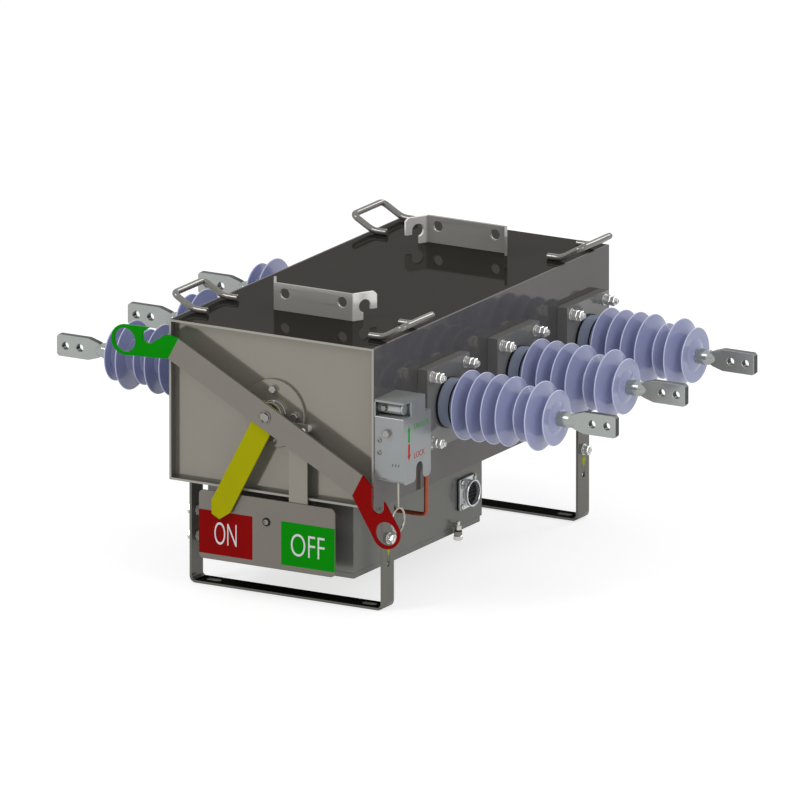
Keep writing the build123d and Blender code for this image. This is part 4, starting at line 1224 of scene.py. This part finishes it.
# Heights on the valve start at the underside of its cap.
cap_height = 8.8
cap_across = 14.8
nut_start = 9
nut_length = 7.5
nut_radius = 7.4
stem_start = 10
seal_start = 16.6
seal_radius = 6.6
collar_low = 19
collar_high = 27
valve_height = valve_high.z - cap_low.z
stem_radius = 5
valve_collar_radius = 6
tail_radius = 3.6
stub_z = 74
stub_radius = 4
stem_profile = [
    (stem_start, 0),
    (stem_start, stem_radius),
    (collar_low, stem_radius),
    (collar_low, valve_collar_radius - 0.3),
    (collar_low + 0.3, valve_collar_radius),
    (collar_high - 0.3, valve_collar_radius),
    (collar_high, valve_collar_radius - 0.3),
    (collar_high, tail_radius),
    (valve_height - 1, tail_radius),
    (valve_height, tail_radius - 0.8),
    (valve_height, 0),
]
bm = bmesh.new()
turned(bm, stem_profile, 32)
placed(bm, valve_place)
rod(bm, [Vector((valve_low.x, valve_y, stub_z)), Vector((valve_x, valve_y, stub_z))], stub_radius, 24)
keep("gas_valve_body", bm, valve_metal, "switch_body", "gas_valve")
bm = bmesh.new()
turned(bm, ring_profile(seal_start, collar_low - 0.2, stem_radius, seal_radius, 0.6), 32)
keep("gas_valve_seal_ring", placed(bm, valve_place), gasket_rubber, "switch_body")
bm = bmesh.new()
knurled(bm, nut_start, nut_radius, nut_length, 24)
keep("gas_valve_nut", placed(bm, valve_place), knurl_metal, "switch_body")
bm = bmesh.new()
hexagon(bm, 0, cap_across, cap_height)
keep("gas_valve_hexagon_cap", placed(bm, valve_place), valve_metal, "switch_body", "gas_valve_cap")

pipe_low, pipe_high = box_mm("gas_pipe")
pipe_radius = 4
pipe_bend = 9
pipe_y = (pipe_low.y + pipe_high.y) / 2
pipe_run_x = pipe_high.x - pipe_radius
pipe_foot_z = pipe_low.z + pipe_radius
pipe_route = [
    (tank_high.x - tank_sheet, pipe_y, pipe_high.z - pipe_radius),
    (pipe_run_x, pipe_y, pipe_high.z - pipe_radius),
    (pipe_run_x, pipe_y, pipe_foot_z),
    (pipe_low.x, pipe_y, pipe_foot_z),
]
bm = bmesh.new()
rod(bm, rounded(pipe_route, pipe_bend), pipe_radius - 0.02, 24)
keep("gas_pipe_bends", bm, pipe_copper, "switch_body", "gas_pipe")
grommet_bore = pipe_radius + 0.1
grommet_radius = 8
grommet_x = box_mm("pipe_grommet")[0].x
grommet_profile = [
    (0, grommet_bore),
    (0, grommet_radius),
    (1.3, grommet_radius),
    (2, grommet_radius - 0.8),
    (2, grommet_bore + 0.5),
    (1.6, grommet_bore),
    (0, grommet_bore),
]
bm = bmesh.new()
turned(bm, grommet_profile, 32)
placed(bm, facing(rightwards, (grommet_x, pipe_y, pipe_foot_z)))
keep("pipe_grommet_ring", bm, gasket_rubber, "switch_body", "pipe_grommet")

# Lock
# Galvanised sheet housing on the tank's right side, with a bright bar in its window, and a wire pull with
# a ring below. Arrows and words on its side say which way the pull locks, and three slots drain it.

# Zinc is pale with a soft, cloudy shine. The drawn bar and the wire shine more sharply.
zinc_sheet = sheet_metal("bright zinc sheet", "#9C9F9F", "#919494", 0.4, 0.2, 0.06, (8, 8, 8), 0.05)
roller_steel = sheet_metal("drawn bar of the lock", "#B6BABA", "#ACB0B0", 0.45, 0.2, 0.05, (30, 3, 3), 0.04)
wire_steel = sheet_metal("bright steel wire", "#ADA99F", "#A39F95", 0.8, 0.18, 0.04, (3, 3, 3), 0.03)
dress(zinc_sheet, "lock_housing", "lock_guide", "lock_slide")
ease_edges(0.6, "lock_housing")
lock_low, lock_high = box_mm("lock_housing")

roller_low, roller_high = box_mm("lock_bar")
roller_y = (roller_low.y + roller_high.y) / 2
roller_z = (roller_low.z + roller_high.z) / 2
roller_length = roller_high.x - roller_low.x
roller_radius = (roller_high.z - roller_low.z) / 2
roller_groove = roller_length - 3.6
roller_profile = [
    (0, 0),
    (0, roller_radius - 0.8),
    (0.8, roller_radius),
    (roller_groove - 0.9, roller_radius),
    (roller_groove - 0.4, roller_radius - 0.8),
    (roller_groove + 0.4, roller_radius - 0.8),
    (roller_groove + 0.9, roller_radius),
    (roller_length - 0.8, roller_radius),
    (roller_length, roller_radius - 0.8),
    (roller_length, 0),
]
bm = bmesh.new()
turned(bm, roller_profile, 48)
placed(bm, facing(rightwards, (roller_low.x, roller_y, roller_z)))
keep("lock_bar_turning", bm, roller_steel, "switch_body", "lock_bar")
# A folded liner of the same sheet closes the window behind and below the bar.
liner_low = Vector((roller_low.x + 2, lock_low.y + 0.2, roller_low.z - 3))
liner_high = Vector((lock_high.x - 2.2, roller_high.y + 1.2, roller_high.z + 1.6))
liner_sheet = 1
liner_walls = [
    (liner_low, Vector((liner_high.x, liner_high.y, liner_low.z + liner_sheet))),
    (Vector((liner_low.x, liner_high.y - liner_sheet, liner_low.z)), liner_high),
]
bm = bmesh.new()
for low, high in liner_walls:
    wall = bmesh.ops.create_cube(bm, size=1)["verts"]
    bmesh.ops.scale(bm, vec=(high - low) * MM, verts=wall)
    bmesh.ops.translate(bm, vec=(low + high) / 2 * MM, verts=wall)
keep("lock_window_liner", bm, zinc_sheet, "switch_body")
# Thin near white strips round the window, in front and on the side, are painted highlights on its edge.
window_left = tank_high.x + 2
window_low = tank_low.z + 173
window_high = window_low + 26
window_back = lock_low.y + 26
edge_width = 1.3
front_edge = [
    (window_left - edge_width, window_high),
    (window_left - edge_width, window_low - edge_width),
    (lock_high.x, window_low - edge_width),
    (lock_high.x, window_low),
    (window_left, window_low),
    (window_left, window_high),
]
bm = moved(plate([front_edge], film, 0.05), (0, lock_low.y - film * 0.1, 0))
keep("lock_window_front_highlight", bm, bright_steel, "switch_body")
side_edge = rectangle(window_back, window_low - edge_width, window_back + edge_width, window_high)
bm = moved(plate([side_edge], film, 0.05), (lock_high.x + film * 0.1, 0, 0), quarter_turn)
keep("lock_window_side_highlight", bm, bright_steel, "switch_body")
# The bar's own bolt stands on a washer in front of it.
bar_bolt_across = 10
bar_bolt_face = 0.6
bm = bmesh.new()
washer(bm, bar_bolt_face - 1.6, 13, 1.6)
hexagon(bm, bar_bolt_face, bar_bolt_across, 5)
placed(bm, facing(forwards, (roller_low.x + 15, roller_low.y, roller_z + 1)))
# The bolt takes the metal in painted shade.
keep("lock_bar_bolt", bm, knurl_metal, "switch_body")

lock_bolt_x = 236.7
lock_bolt_z = 344
lock_screw_x = 221
lock_screw_zs = (329.5, 307)
bm = bmesh.new()
washer(bm, 0, bolt_across, bolt_washer_thickness)
hexagon(bm, bolt_washer_thickness, bolt_across, bolt_head_height)
placed(bm, facing(forwards, (lock_bolt_x, lock_low.y, lock_bolt_z)))
keep("lock_bolt", bm, bolt_steel, "switch_body", "lock_screws")
bm = bmesh.new()
round_head(bm, 0, small_head, small_head_height)
lock_screw_places = [facing(forwards, (lock_screw_x, lock_low.y, z)) for z in lock_screw_zs]
# The screw heads take the metal in painted shade.
keep("lock_screw_heads", copied(bm, lock_screw_places), knurl_metal, "switch_body")

# Each slot is a near black film on the face: painted shade of the housing's unlit inside.
slot_black = moulded("black inside of a slot", "#17181A", "#131416", 0.6, 0.5, 0.1)
slot_xs = (248, 254, 260)
slot_z = 287
slot_outline = [(-1.6, -2.6), (-0.2, -2.6), (1.6, 2.6), (0.2, 2.6)]
for number, slot_x in enumerate(slot_xs, 1):
    bm = moved(plate([slot_outline], film, 0.03), (slot_x, lock_low.y - film * 0.1, slot_z))
    keep(f"lock_drain_slot_{number}", bm, slot_black, "switch_body")

# Screen-printed ink, flat and clear against the zinc.
green_ink = painted("green marking ink", "#1C9A30", "#18922B", 0.4)
red_ink = painted("red marking ink", "#C01A1E", "#B6161A", 0.4)
arrow_length = 30
arrow_head = 10
head_half = 5.6
shaft_half = 3
arrow_up = [
    (-shaft_half, 0),
    (shaft_half, 0),
    (shaft_half, arrow_length - arrow_head),
    (head_half, arrow_length - arrow_head),
    (0, arrow_length),
    (-head_half, arrow_length - arrow_head),
    (-shaft_half, arrow_length - arrow_head),
]
arrow_down = [(y, -z) for y, z in reversed(arrow_up)]
arrow_y = -400
mark_x = lock_high.x + film * 0.3
mark_height = 10.5
facing_right = Matrix(((0, 0, 1, 0), (1, 0, 0, 0), (0, 1, 0, 0), (0, 0, 0, 1)))
# Each mark has its ink, its arrow and where that starts, and its word's width and middle.
marks = [
    ("unlock", green_ink, arrow_up, 327, 51, (mark_x, -356.5, 352)),
    ("lock", red_ink, arrow_down, 324, 37, (mark_x, -363, 299)),
]
for name, ink, arrow, arrow_z, mark_width, mark_middle in marks:
    bm = moved(plate([arrow], film, 0.03), (mark_x, arrow_y, arrow_z), quarter_turn)
    keep(name + "_arrow", bm, ink, "switch_body")
    word(
        name + "_word",
        name.upper(),
        mark_width,
        mark_height,
        mark_middle,
        facing_right,
        ink,
        "switch_body",
    )

pull_low, pull_high = box_mm("lock_pull")
wire_radius = 2
pull_x = (pull_low.x + pull_high.x) / 2
pull_y = (pull_low.y + pull_high.y) / 2
pull_ring_radius = 22
pull_ring_z = pull_low.z + wire_radius + pull_ring_radius
wire_turns = [2 * pi * step / 16 for step in range(17)]
wire_profile = [
    (wire_radius * cos(turn), pull_ring_radius + wire_radius * sin(turn)) for turn in wire_turns
]
bm = bmesh.new()
turned(bm, wire_profile, 72)
placed(bm, facing(rightwards, (pull_x, pull_y, pull_ring_z)))
rod_foot = Vector((pull_x, pull_y, pull_ring_z + pull_ring_radius))
rod(bm, [rod_foot, Vector((pull_x, pull_y, pull_high.z))], wire_radius, 16)
keep("lock_pull_wire", bm, wire_steel, "lock_slide_and_ring", "lock_pull")
